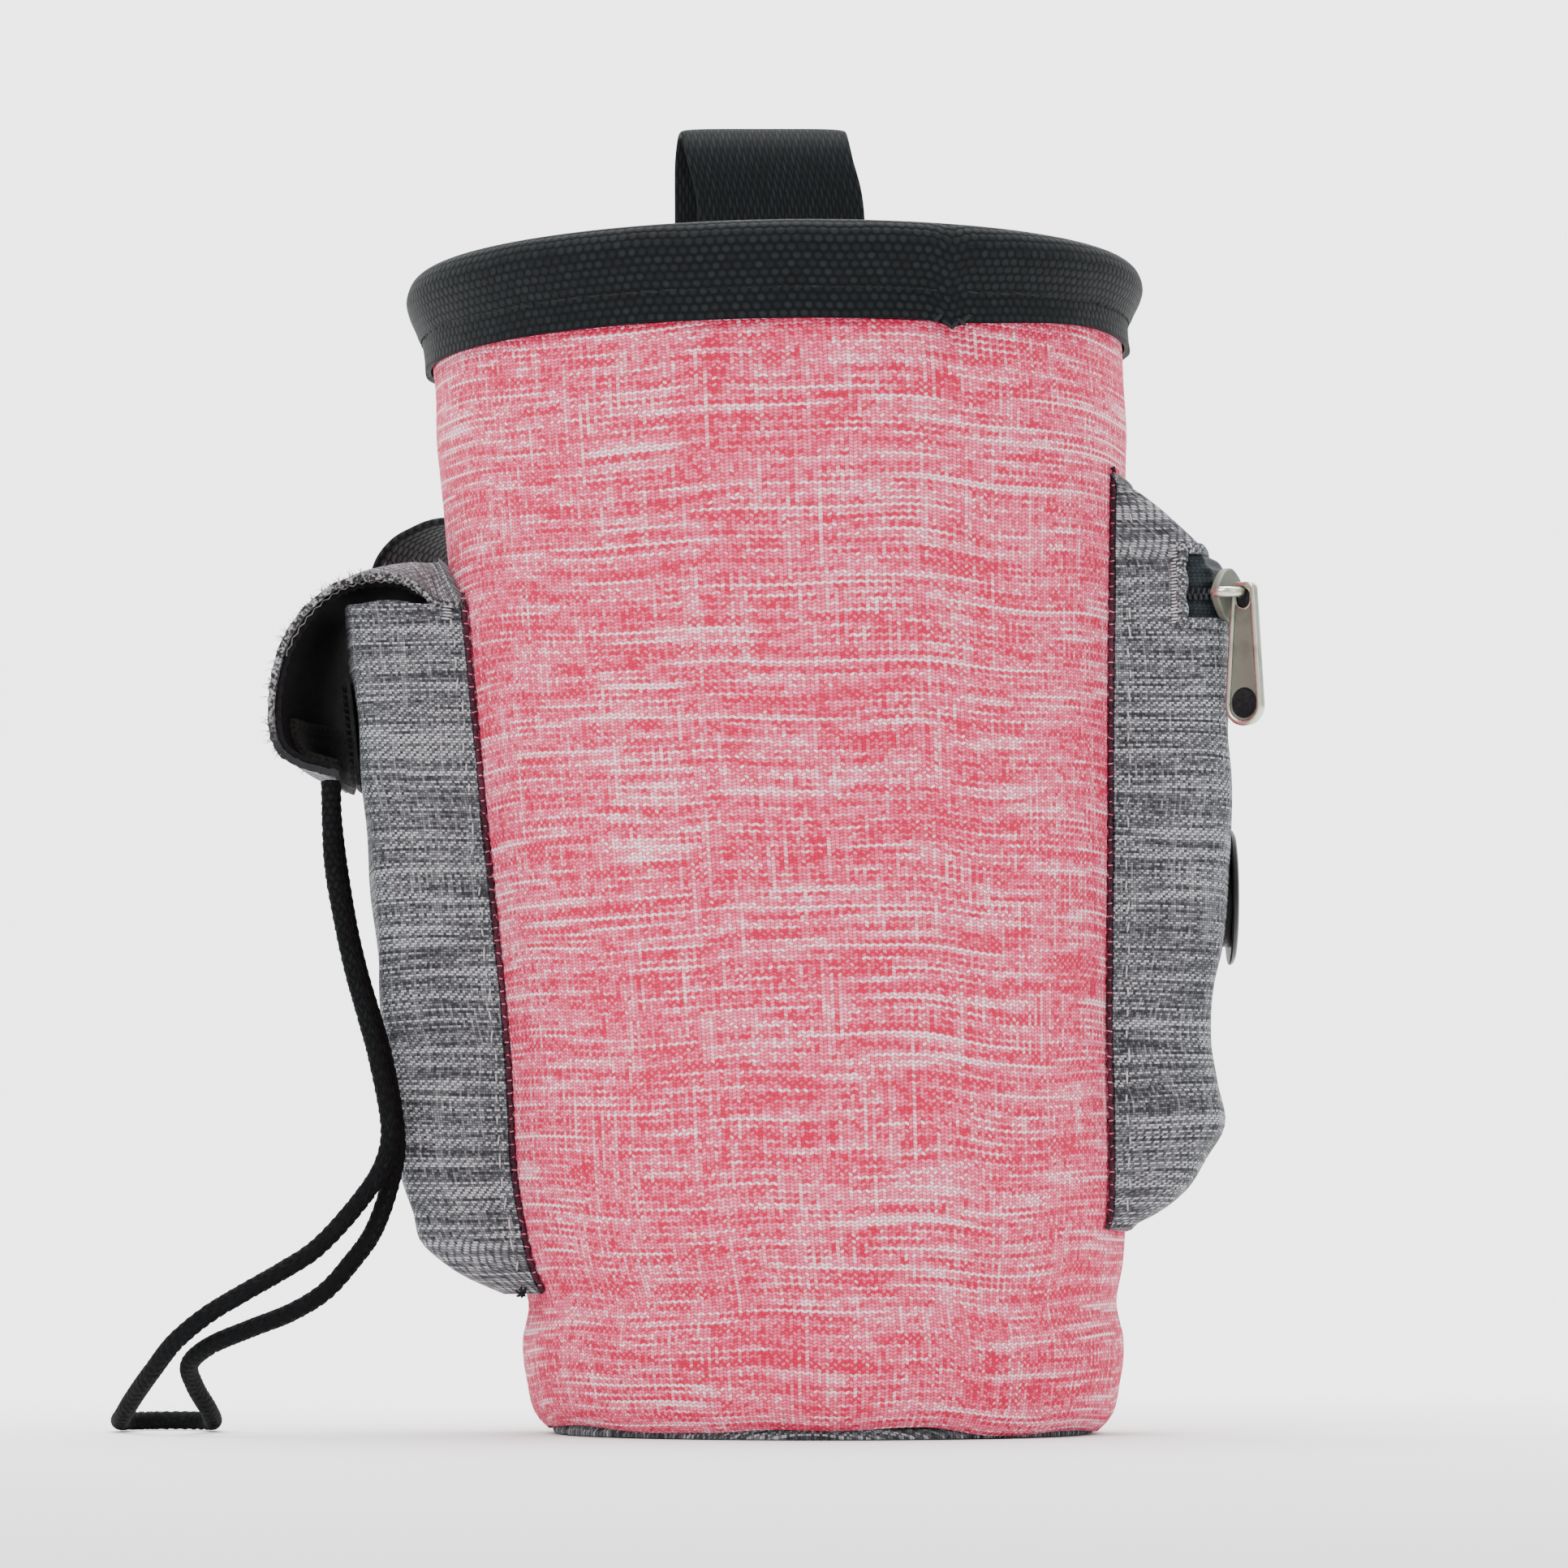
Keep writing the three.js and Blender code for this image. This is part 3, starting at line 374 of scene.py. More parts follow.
def buildMelangeWeave():
    # two sets of threads: every thread changes between deep, ground and pale along its length,
    # row threads swing up and down round the columns; the gaps between threads get painted shade in the deep
    # colour, and each thread gets a painted highlight on its crown
    group, sheet, given, made = startGroup("melange weave", {
        "UV": None, "Column Pitch": 1.0, "Row Pitch": 0.75, "Twill": 0.0, "Waviness": 0.3, "Row Weight": 0.0,
        "Under Shade": 0.0, "Deep Share": 0.5, "Pale Share": 0.5, "Ground": (0.8, 0.3, 0.4, 1),
        "Deep": (0.5, 0.03, 0.08, 1), "Pale": (0.9, 0.8, 0.82, 1)})
    u, v, _ = sheet.split(given["UV"])
    drift = sheet.noise(sheet.join(sheet.times(u, 0.014), sheet.times(v, 0.02)), 1.0, 2)
    drift = sheet.times(sheet.minus(drift, 0.5), 6.0)
    column = sheet.math("DIVIDE", sheet.plus(u, sheet.times(drift, 0.12)), given["Column Pitch"])
    columnStep = sheet.math("FLOOR", column)
    columnPart = sheet.math("FRACT", column)
    zigzag = sheet.math("PINGPONG", column, 1.0)
    zigzag = sheet.times(sheet.minus(zigzag, 0.5), given["Waviness"])
    row = sheet.math("DIVIDE", sheet.plus(v, drift), given["Row Pitch"])
    row = sheet.plus(row, zigzag)
    rowStep = sheet.math("FLOOR", row)
    rowPart = sheet.math("FRACT", row)
    plain = sheet.math("MODULO", sheet.math("ABSOLUTE", sheet.plus(columnStep, rowStep)), 2.0)
    diagonal = sheet.math("MODULO", sheet.plus(sheet.minus(rowStep, columnStep), 4000.0), 3.0)
    twill = sheet.math("GREATER_THAN", diagonal, 0.5)
    over = sheet.blend(given["Twill"], plain, twill)
    under = sheet.times(sheet.minus(1.0, over), given["Under Shade"])
    over = sheet.math("MAXIMUM", over, given["Row Weight"])
    fleck = sheet.white(sheet.join(columnStep, rowStep, 2.0))
    jitter = sheet.times(sheet.minus(fleck, 0.5), 0.16)
    region = sheet.noise(sheet.join(sheet.times(u, 0.012), sheet.times(v, 0.05), 5.0), 1.0, 3)
    lean = sheet.times(sheet.minus(region, 0.5), 0.06)
    rowMood = sheet.noise(sheet.join(sheet.times(u, 0.048), sheet.times(rowStep, 7.31), 3.0), 1.0, 2, 0.55)
    rowMood = sheet.plus(sheet.plus(rowMood, jitter), lean)
    columnMood = sheet.noise(sheet.join(sheet.times(columnStep, 5.17), sheet.times(v, 0.05), 9.0), 1.0, 2,
                             0.55)
    columnMood = sheet.plus(columnMood, jitter)
    slub = sheet.noise(sheet.join(sheet.times(u, 0.022), sheet.times(rowStep, 3.77), 21.0), 1.0, 0, 0.4)
    deepMove = sheet.minus(given["Deep Share"], 0.5)
    paleMove = sheet.minus(given["Pale Share"], 0.5)
    deepRow = sheet.ramp(sheet.minus(deepMove, rowMood), -0.53, -0.37)
    paleRow = sheet.ramp(sheet.plus(paleMove, rowMood), 0.5, 0.63)
    slubRow = sheet.ramp(sheet.plus(paleMove, slub), 0.63, 0.69)
    deepColumn = sheet.ramp(sheet.minus(deepMove, columnMood), -0.47, -0.31)
    paleColumn = sheet.ramp(sheet.plus(paleMove, columnMood), 0.5, 0.64)
    rowColor = sheet.mix(deepRow, given["Ground"], given["Deep"])
    rowColor = sheet.mix(paleRow, rowColor, given["Pale"])
    rowColor = sheet.mix(slubRow, rowColor, given["Pale"])
    columnColor = sheet.mix(deepColumn, given["Ground"], given["Deep"])
    columnColor = sheet.mix(paleColumn, columnColor, given["Pale"])
    over = sheet.math("MAXIMUM", over, sheet.times(slubRow, 0.65))
    color = sheet.mix(over, columnColor, rowColor)
    # painted shade: where the row thread passes under, the column shows mixed towards the deep colour by
    # Under Shade
    color = sheet.mix(under, color, given["Deep"])
    color = sheet.mix(sheet.times(paleColumn, 0.14), color, given["Pale"])
    rowRound = sheet.math("SINE", sheet.times(rowPart, math.pi))
    columnRound = sheet.math("SINE", sheet.times(columnPart, math.pi))
    height = sheet.blend(over, sheet.times(columnRound, sheet.math("POWER", rowRound, 0.4)),
                         sheet.times(rowRound, sheet.math("POWER", columnRound, 0.4)))
    # painted shade between the threads: low places mix towards the deep colour, then the colour is scaled
    # darker off the crowns and lighter on them
    gap = sheet.times(sheet.minus(1.0, sheet.ramp(height, 0.05, 0.6)), 0.72)
    color = sheet.mix(gap, color, given["Deep"])
    shade = sheet.plus(sheet.times(height, 0.3), 0.8)
    scaled = sheet.add("ShaderNodeVectorMath", operation="SCALE")
    sheet.put(scaled.inputs[0], color)
    sheet.put(scaled.inputs["Scale"], shade)
    sheet.put(made["Color"], scaled.outputs[0])
    sheet.put(made["Height"], height)
    sheet.put(made["Roughness"], sheet.plus(sheet.times(fleck, 0.08), 0.84))
    return group


def buildWebbingWeave():
    # staggered oval floats in rows, each row shifted by half a float
    group, sheet, given, made = startGroup("webbing weave", {
        "UV": None, "Float Length": 1.8, "Row Pitch": 1.5, "Slant": 0.0, "Thread": (0.03, 0.036, 0.038, 1),
        "Glint": (0.06, 0.075, 0.08, 1)})
    u, v, _ = sheet.split(given["UV"])
    u = sheet.plus(u, sheet.times(v, given["Slant"]))
    row = sheet.math("DIVIDE", v, given["Row Pitch"])
    rowStep = sheet.math("FLOOR", row)
    odd = sheet.math("MODULO", sheet.math("ABSOLUTE", rowStep), 2.0)
    column = sheet.plus(sheet.math("DIVIDE", u, given["Float Length"]), sheet.times(odd, 0.5))
    x = sheet.minus(sheet.math("FRACT", column), 0.5)
    y = sheet.minus(sheet.math("FRACT", row), 0.5)
    away = sheet.plus(sheet.times(sheet.math("POWER", x, 2.0), 3.6),
                      sheet.times(sheet.math("POWER", y, 2.0), 3.2))
    height = sheet.math("MAXIMUM", sheet.minus(1.0, away), 0.0)
    height = sheet.math("POWER", height, 0.7)
    fibre = sheet.noise(sheet.join(sheet.times(u, 6.0), sheet.times(v, 1.4)), 1.0, 2)
    fleck = sheet.white(sheet.join(sheet.math("FLOOR", column), rowStep, 1.0))
    # painted highlight: the Glint colour lights the raised top of each float, more on some floats than
    # others
    glint = sheet.times(sheet.ramp(height, 0.35, 1.0), sheet.plus(sheet.times(fleck, 0.6), 0.4))
    color = sheet.mix(glint, given["Thread"], given["Glint"])
    sheet.put(made["Color"], color)
    sheet.put(made["Height"], sheet.plus(height, sheet.times(fibre, 0.25)))
    sheet.put(made["Roughness"], sheet.plus(sheet.times(fibre, 0.2), 0.55))
    return group


def buildSoftNap():
    # short matted fibres: two noises at different sizes
    group, sheet, given, made = startGroup("soft nap", {
        "Vector": None, "Fibre Scale": 900.0, "Low": (0.015, 0.015, 0.017, 1),
        "High": (0.06, 0.06, 0.065, 1)})
    node = sheet.add("ShaderNodeTexNoise")
    sheet.put(node.inputs["Vector"], given["Vector"])
    sheet.put(node.inputs["Scale"], given["Fibre Scale"])
    node.inputs["Detail"].default_value = 4.0
    node.inputs["Roughness"].default_value = 0.65
    fine = node.outputs["Fac"]
    broad = sheet.noise(given["Vector"], 60.0, 2)
    value = sheet.plus(sheet.times(fine, 0.6), sheet.times(broad, 0.4))
    sheet.put(made["Color"], sheet.mix(sheet.ramp(value, 0.38, 0.66), given["Low"], given["High"]))
    sheet.put(made["Height"], value)
    sheet.put(made["Roughness"], sheet.plus(sheet.times(fine, 0.15), 0.8))
    return group


def buildHandledMetal():
    # fine rubbing marks and dull smudges
    group, sheet, given, made = startGroup("handled metal", {
        "Vector": None, "Bright": (0.75, 0.73, 0.68, 1), "Dull": (0.5, 0.48, 0.44, 1), "Polish": 0.22})
    x, y, z = sheet.split(given["Vector"])
    rub = sheet.noise(sheet.join(sheet.times(x, 2500.0), sheet.times(y, 2500.0), sheet.times(z, 160.0)),
                      1.0, 3)
    smudge = sheet.noise(given["Vector"], 260.0, 3)
    sheet.put(made["Color"], sheet.mix(sheet.ramp(smudge, 0.45, 0.75), given["Bright"], given["Dull"]))
    sheet.put(made["Height"], rub)
    rough = sheet.plus(given["Polish"], sheet.plus(sheet.times(rub, 0.12), sheet.times(smudge, 0.1)))
    sheet.put(made["Roughness"], rough)
    return group


melangeWeave = buildMelangeWeave()
webbingWeave = buildWebbingWeave()
softNap = buildSoftNap()
handledMetal = buildHandledMetal()


def makeMaterial(name, group, values, bumpDistance, bumpStrength, sheen=0.0, metallic=0.0, coat=0.0,
                 specular=0.15, tune=None):
    # a Principled surface whose colour, roughness and bump come from one of the groups
    material = bpy.data.materials.new(name)
    material.use_nodes = True
    tree = material.node_tree
    tree.nodes.clear()
    sheet = NodeSheet(tree)
    output = sheet.add("ShaderNodeOutputMaterial")
    surface = sheet.add("ShaderNodeBsdfPrincipled")
    pattern = sheet.add("ShaderNodeGroup")
    pattern.node_tree = group
    if "UV" in pattern.inputs:
        sheet.put(pattern.inputs["UV"], sheet.add("ShaderNodeUVMap", uv_map="cloth").outputs[0])
    else:
        sheet.put(pattern.inputs["Vector"], sheet.add("ShaderNodeTexCoord").outputs["Object"])
    for title, value in values.items():
        pattern.inputs[title].default_value = value
    bump = sheet.add("ShaderNodeBump")
    bump.inputs["Strength"].default_value = bumpStrength
    bump.inputs["Distance"].default_value = bumpDistance * mm
    sheet.put(bump.inputs["Height"], pattern.outputs["Height"])
    color = pattern.outputs["Color"]
    if tune is not None:
        color = tune(sheet, color)
    sheet.put(surface.inputs["Base Color"], color)
    sheet.put(surface.inputs["Roughness"], pattern.outputs["Roughness"])
    sheet.put(surface.inputs["Normal"], bump.outputs[0])
    for title, value in (("Metallic", metallic), ("Specular IOR Level", specular), ("Sheen Weight", sheen),
                         ("Sheen Roughness", 0.4), ("Coat Weight", coat)):
        surface.inputs[title].default_value = value
    sheet.put(output.inputs["Surface"], surface.outputs[0])
    return material


def frayedEdge(dark, pale):
    # cut threads towards a piece's free edge, from its "edge" attribute: dark and pale ends mixed,
    # and only dark ones where its "curl" attribute is 1
    def tune(sheet, color):
        edge = sheet.add("ShaderNodeAttribute", attribute_name="edge")
        curl = sheet.add("ShaderNodeAttribute", attribute_name="curl")
        place = sheet.add("ShaderNodeTexCoord")
        speckle = sheet.ramp(sheet.noise(place.outputs["Object"], 1700.0, 2), 0.42, 0.66)
        speckle = sheet.times(speckle, sheet.minus(1.0, curl.outputs["Fac"]))
        return sheet.mix(edge.outputs["Fac"], color, sheet.mix(speckle, dark, pale))
    return tune


def webbing(name, floatLength, rowPitch, thread, glint, bump, strength, specular, slant=0.0):
    return makeMaterial(name, webbingWeave, {
        "Float Length": floatLength, "Row Pitch": rowPitch, "Slant": slant, "Thread": (*thread, 1),
        "Glint": (*glint, 1)}, bump, strength, specular=specular)


def nap(name, fibreScale, low, high, bump, strength, **settings):
    values = {"Fibre Scale": fibreScale, "Low": (*low, 1), "High": (*high, 1)}
    return makeMaterial(name, softNap, values, bump, strength, **settings)


def metal(name, bright, dull, polish, strength, **settings):
    values = {"Bright": (*bright, 1), "Dull": (*dull, 1), "Polish": polish}
    return makeMaterial(name, handledMetal, values, 0.02, strength, **settings)


pinkWeave = {
    "Column Pitch": 0.72, "Row Pitch": 0.55, "Twill": 0.0, "Waviness": 0.5, "Row Weight": 0.4,
    "Under Shade": 0.18, "Deep Share": 0.53, "Pale Share": 0.45, "Ground": (0.8, 0.165, 0.27, 1),
    "Deep": (0.52, 0.006, 0.05, 1), "Pale": (0.96, 0.68, 0.75, 1)}
grayWeave = {
    "Column Pitch": 0.44, "Row Pitch": 0.4, "Twill": 1.0, "Waviness": 0.0, "Row Weight": 0.0,
    "Under Shade": 0.75, "Deep Share": 0.48, "Pale Share": 0.5, "Ground": (0.14, 0.147, 0.158, 1),
    "Deep": (0.026, 0.027, 0.031, 1), "Pale": (0.4, 0.412, 0.435, 1)}
# black is the webbing thread colour; glint is the painted highlight colour on the floats' tops
black = (0.003, 0.0038, 0.0044)
glint = (0.012, 0.015, 0.017)

pinkCloth = makeMaterial("pink melange cloth", melangeWeave, pinkWeave, 0.22, 0.6, sheen=0.04)
grayCloth = makeMaterial("gray melange cloth", melangeWeave, grayWeave, 0.2, 0.6, sheen=0.03)
grayEdged = makeMaterial("gray cloth with cut edges", melangeWeave, grayWeave, 0.2, 0.6, sheen=0.03,
                         tune=frayedEdge((0.02, 0.02, 0.022, 1), (0.3, 0.3, 0.31, 1)))
rimWebbing = webbing("rim webbing", 1.75, 1.35, black, glint, 0.3, 0.6, 0.08)
loopWebbing = webbing("loop webbing", 3.2, 0.62, black, glint, 0.15, 0.5, 0.08)
ribbedWebbing = webbing("ribbed webbing", 1.9, 1.6, black, (0.022, 0.025, 0.026), 0.3, 0.7, 0.1, 0.7)
tapeWebbing = webbing("zip tape", 0.8, 0.6, (0.007, 0.01, 0.012), (0.022, 0.032, 0.038), 0.12, 0.4, 0.2)
cordBraid = webbing("braided cord", 1.25, 1.3, (0.0016, 0.0018, 0.002), (0.007, 0.008, 0.009), 0.1, 0.4,
                    0.06)
darkLining = nap("dark lining", 1400.0, (0.01, 0.01, 0.012), (0.032, 0.032, 0.035), 0.15, 0.5, sheen=0.05)
flapLining = nap("charcoal lining", 1500.0, (0.003, 0.003, 0.0034), (0.01, 0.01, 0.011), 0.2, 0.6,
                 specular=0.06)
loopNap = nap("loop patch nap", 1900.0, (0.006, 0.006, 0.0058), (0.022, 0.021, 0.0195), 0.5, 0.9,
              sheen=0.03, specular=0.06)
hookPlastic = nap("hook patch", 1200.0, (0.006, 0.006, 0.007), (0.018, 0.018, 0.02), 0.2, 0.6)
zipTeeth = nap("zip teeth", 700.0, (0.008, 0.009, 0.01), (0.03, 0.033, 0.035), 0.05, 0.3, coat=0.2)
# dark plum: the seam's overlock thread, and painted shade for the gap where each gusset meets the bucket
plumThreadAndShade = nap("plum thread and painted seam shade", 2500.0, (0.016, 0.005, 0.009), (0.085, 0.018, 0.035), 0.2, 0.8)
pinkThread = nap("pink thread", 2500.0, (0.4, 0.07, 0.12), (0.7, 0.28, 0.34), 0.1, 0.5)
paleThread = nap("pale thread", 2500.0, (0.28, 0.28, 0.29), (0.52, 0.52, 0.53), 0.1, 0.5)
fibreThread = nap("cut fibres", 2500.0, (0.06, 0.06, 0.063), (0.2, 0.2, 0.208), 0.1, 0.5)
blackThread = nap("black thread", 2500.0, (0.006, 0.006, 0.007), (0.022, 0.024, 0.026), 0.1, 0.5)
nickel = metal("satin nickel", (0.54, 0.55, 0.46), (0.33, 0.34, 0.28), 0.16, 0.2, metallic=1.0,
               specular=0.5)
brushedNickel = metal("brushed nickel", (0.13, 0.14, 0.11), (0.092, 0.098, 0.078), 0.4, 0.3, metallic=0.45,
                      specular=0.5)
enamel = metal("black enamel", (0.005, 0.0056, 0.0064), (0.01, 0.011, 0.013), 0.36, 0.2, coat=0.08)
print("materials made")


# The pull cord: one loop, both ends at the flap's lower edge, its bight on the floor

cordPiece = {
    "diameter": 3.2, "sides": 20, "step": 0.3, "strands": 8, "pitch": 7.0, "relief": 0.24,
    "route": [
        (-81.9, -19.6, 108.1), (-81.2, -21.4, 94.5), (-79.6, -22.2, 85.4), (-77.7, -23, 76.9),
        (-75.4, -24.4, 69), (-73.4, -25.6, 61.9), (-71.3, -26.2, 49.8), (-72.3, -26, 44.8),
        (-75, -25.6, 40.2), (-83.2, -24.4, 31), (-89, -23.6, 27.2), (-95.4, -22.6, 23.6),
        (-101.6, -21, 19.9), (-107, -18, 15.6), (-111.4, -12, 10.6), (-115.2, -4, 6.2),
        (-117.8, 3.4, 2.9), (-119, 11, 1.8), (-118, 15.4, 1.7), (-115.1, 18.3, 1.7),
        (-111.2, 19.4, 1.7), (-107.3, 18.3, 1.7), (-104.4, 15.4, 1.7), (-103.4, 11.5, 1.9),
        (-103.6, 4, 4.1), (-105.1, -4.6, 8.2), (-105.2, -12, 11.8), (-101, -18.4, 15),
        (-94.2, -20.6, 17.8), (-87.6, -21.4, 20.4), (-82.2, -21.9, 23.7), (-77.9, -22.2, 28.4),
        (-74.1, -22.4, 33.8), (-70.7, -22.6, 44.6), (-70.5, -22.6, 49.8), (-72.6, -21.8, 61.9),
        (-77.1, -19, 76.9), (-79.1, -17.8, 85.4), (-81.6, -16.1, 101.5), (-81.9, -15.6, 108.1)],
}


def smoothRoute(points, step):
    # a centripetal Catmull-Rom curve through the points, read again at even steps
    points = np.asarray(points, float)
    padded = np.vstack([2 * points[0] - points[1], points, 2 * points[-1] - points[-2]])
    knots = np.concatenate([[0], np.cumsum(np.sqrt(np.linalg.norm(np.diff(padded, axis=0), axis=1)))])
    time = np.concatenate([np.linspace(knots[1:-2], knots[2:-1], 24, endpoint=False).T.ravel(),
                           knots[-2:-1]])
    row = np.clip(np.searchsorted(knots, time, side="right") - 1, 1, len(points) - 1)

    def between(first, second, low, high):
        share = ((time - knots[low]) / (knots[high] - knots[low]))[:, None]
        return first * (1 - share) + second * share

    one = between(padded[row - 1], padded[row], row - 1, row)
    two = between(padded[row], padded[row + 1], row, row + 1)
    three = between(padded[row + 1], padded[row + 2], row + 1, row + 2)
    curve = between(between(one, two, row - 1, row + 1), between(two, three, row, row + 2), row, row + 1)
    run = np.concatenate([[0], np.cumsum(np.linalg.norm(np.diff(curve, axis=0), axis=1))])
    even = np.linspace(0, run[-1], int(run[-1] / step) + 1)
    return readLine(curve, run, even), run[-1]


def makeCord():
    # a round tube whose radius follows a plait: two sets of spirals that pass over each other in turn
    path, length = smoothRoute(cordPiece["route"], cordPiece["step"])
    grid = tubeGrid(path, (1, 1, 1), cordPiece["diameter"], cordPiece["diameter"], cordPiece["sides"])
    turn = np.linspace(0, 1, cordPiece["sides"] + 1)[None, :]
    run = np.linspace(0, length, len(path))[:, None]
    half = cordPiece["strands"] / 2
    right = half * turn + run / cordPiece["pitch"] * half
    left = half * turn - run / cordPiece["pitch"] * half
    over = np.mod(np.floor(right) + np.floor(left), 2)
    swell = np.where(over > 0.5, np.abs(np.sin(np.pi * right)), np.abs(np.sin(np.pi * left)))
    inner = grid[1:-1] - path[:, None]
    shrink = 1 - cordPiece["relief"] / (cordPiece["diameter"] / 2) * (1 - swell)
    grid[1:-1] = path[:, None] + inner * shrink[..., None]
    piece = makeTubes("braided_cord", [grid], cordBraid, "black_cord", ("pull_cord",))
    print("cord", round(length, 1), "mm")


makeCord()


# The bucket

bucket = {
    "bottomEdge": 2.3, "topEdge": 186.0, "topRadius": 59.6, "baseRadius": 50.4, "wall": 1.7,
    "lean": -8.2, "mouthTilt": 1.0, "rimTop": 195.6, "columns": 240, "rows": 150,
    "level": [0, 0.012, 0.035, 0.072, 0.106, 0.14, 0.185, 0.334, 0.559, 0.75, 0.857, 0.951, 1],
    "spread": [-0.52, -0.24, -0.08, 0, -0.12, 0.05, 0.18, 0.29, 0.52, 0.71, 0.82, 0.96, 1],
    "leanShare": [0, 0, 0, 0.01, 0.03, 0.1, 0.17, 0.31, 0.55, 0.74, 0.82, 0.9, 1],
    "ripple": 0.35, "tuck": 0.9, "weaveRadius": 56.0, "hemDrop": 1.5, "hemGapAzimuth": -84, "hemGapHalf": 27,
    "hemRoll": 0.5, "hemWave": 0.25, "hemWaves": 9, "hemMiddle": 0.7, "hemLeft": 0.55, "baseGap": 0.3,
}


def aroundUv(loop, angle, radius):
    # the weave runs round the pouch at one radius, and along the swept profile
    return np.stack([np.broadcast_to(angle * radius, loop.shape[:2]), arcLengths(loop, 0)], axis=-1)


def bodyRadius(height):
    level = (height - bucket["bottomEdge"]) / (bucket["topEdge"] - bucket["bottomEdge"])
    spread = readSmooth(bucket["level"], bucket["spread"], level)
    return bucket["baseRadius"] + spread * (bucket["topRadius"] - bucket["baseRadius"])


def bodyCentre(height):
    level = (height - bucket["bottomEdge"]) / (bucket["topEdge"] - bucket["bottomEdge"])
    return bucket["lean"] * readSmooth(bucket["level"], bucket["leanShare"], level)


def roundBody(radius, angle, height):
    # a point round the leaning axis; the mouth's tilt fades out towards the base
    rise = bucket["mouthTilt"] * (height / bucket["rimTop"]) ** 2 * np.cos(angle)
    return np.stack([bodyCentre(height) + radius * np.cos(angle), radius * np.sin(angle), height + rise],
                    axis=-1)


def clothRipple(angle, height):
    # long shallow waves that a hand leaves in stiff cloth, none at the seams' height
    wave = (np.sin(2 * angle + height * 0.021) * 0.5 + np.sin(3 * angle - height * 0.043 + 1.3) * 0.35
            + np.sin(5 * angle + height * 0.06 + 0.5) * 0.22 + np.sin(height * 0.11 + 4 * np.cos(angle))
            * 0.16)
    calm = step01(4, 30, height) * (1 - step01(165, 180, height))
    return bucket["ripple"] * wave * calm - bucket["tuck"] * step01(166, 178, height)


def makeBucket():
    # a closed wall profile swept round: out along the skin, back along the lining
    angle = np.linspace(-1.5 * np.pi, 0.5 * np.pi, bucket["columns"] + 1)[None, :]
    up = np.linspace(0, 1, bucket["rows"])[:, None]
    height = bucket["bottomEdge"] + up * (bucket["topEdge"] - bucket["bottomEdge"])
    azimuth = np.degrees(np.angle(np.exp(1j * angle)))
    away = np.abs(azimuth - bucket["hemGapAzimuth"]) / bucket["hemGapHalf"]
    wavy = bucket["hemWave"] * np.sin(angle * bucket["hemWaves"])
    left = step01(-100, -150, azimuth) * step01(20, 60, -azimuth)
    lift = bucket["hemMiddle"] * (1 - step01(0.5, 1.1, away) + wavy) + bucket["hemLeft"] * left
    drop = bucket["hemDrop"] * (1 - lift) * (1 - step01(0, 0.05, up))
    radius = bodyRadius(height) + clothRipple(angle, height)
    skin = roundBody(radius + bucket["hemRoll"] * (1 - step01(0, 0.02, up)), angle, height)
    skin[..., 2] -= drop
    lining = roundBody(radius - bucket["wall"], angle, height)
    lining[..., 2] -= drop
    loop = np.concatenate([skin, lining[::-1], skin[:1]])
    inside = np.repeat(np.arange(len(loop) - 1) >= bucket["rows"] - 1, bucket["columns"]).astype(int)
    makeSweep("bucket_wall", loop, aroundUv(loop, angle, bucket["weaveRadius"]), [pinkCloth, darkLining],
              "pink_cloth", ("body_shell",), choice=inside)


def makeBase():
    # a disc with a rounded edge, its profile turned about the middle
    radius = float(bodyRadius(np.array(bucket["bottomEdge"]))) - bucket["baseGap"]
    profile = np.array([(0, 2.0), (15, 2.0), (30, 2.0), (radius - 1, 2.0), (radius - 0.25, 1.75),
                        (radius, 1.2), (radius, 0.7), (radius - 0.3, 0.2), (radius - 1.2, 0), (30, 0),
                        (15, 0), (0, 0)])
    angle = np.linspace(0, 2 * np.pi, 145)[None, :]
    grid = np.stack([profile[:, :1] * np.cos(angle), profile[:, :1] * np.sin(angle),
                     np.broadcast_to(profile[:, 1:], (len(profile), 145))], axis=-1)
    inside = np.repeat(np.arange(len(profile) - 1) < 3, 144).astype(int)
    uv = grid[..., :2] + [0, 1] * grid[..., 2:]
    makeSweep("base_disc", grid, uv, [grayCloth, darkLining], "gray_cloth", ("base_panel",), choice=inside,
              mend=True)


makeBucket()
makeBase()
print("bucket made")


# The webbing rim, folded over the mouth

rim = {
    "top": 195.6, "radius": 62.5, "height": 15.9, "roll": 7.1, "columns": 300, "rightRise": 2.3,
    "inset": [0.36, 0.37, 0.35, 0.22, 0.05, 0, 0.13, 0.4, 0.72, 0.93, 1, 0.97, 0.97],
    "drop": [1, 0.88, 0.74, 0.56, 0.38, 0.24, 0.08, 0, 0.04, 0.17, 0.36, 0.6, 1],
    "stitchDrop": 0.69, "stitchStep": 3.4, "stitchRow": 2.35, "lumpAzimuth": -62.5,
    "puckerTurns": [-2.4, -1.0, 0.3, 1.6, 2.6], "puckerLevels": [179.9, 179.1, 178.9, 179.5, 180.2],
    "puckerLean": [0.8, -0.6, 0.9, -0.5, 0.7], "puckerRadius": 60.9, "lumpWidth": 2.2, "lumpOut": 1.1,
    "lumpDrop": 1.2, "groove": 0.18, "grooveWidth": 0.05, "slotLift": 0.3, "slotInner": -2.3,
    "slotOuter": -0.5,
}


def rimTall(angle):
    # the band is a little narrower on the right
    return rim["height"] - rim["rightRise"] * step01(30, 58, rim["radius"] * np.cos(angle))


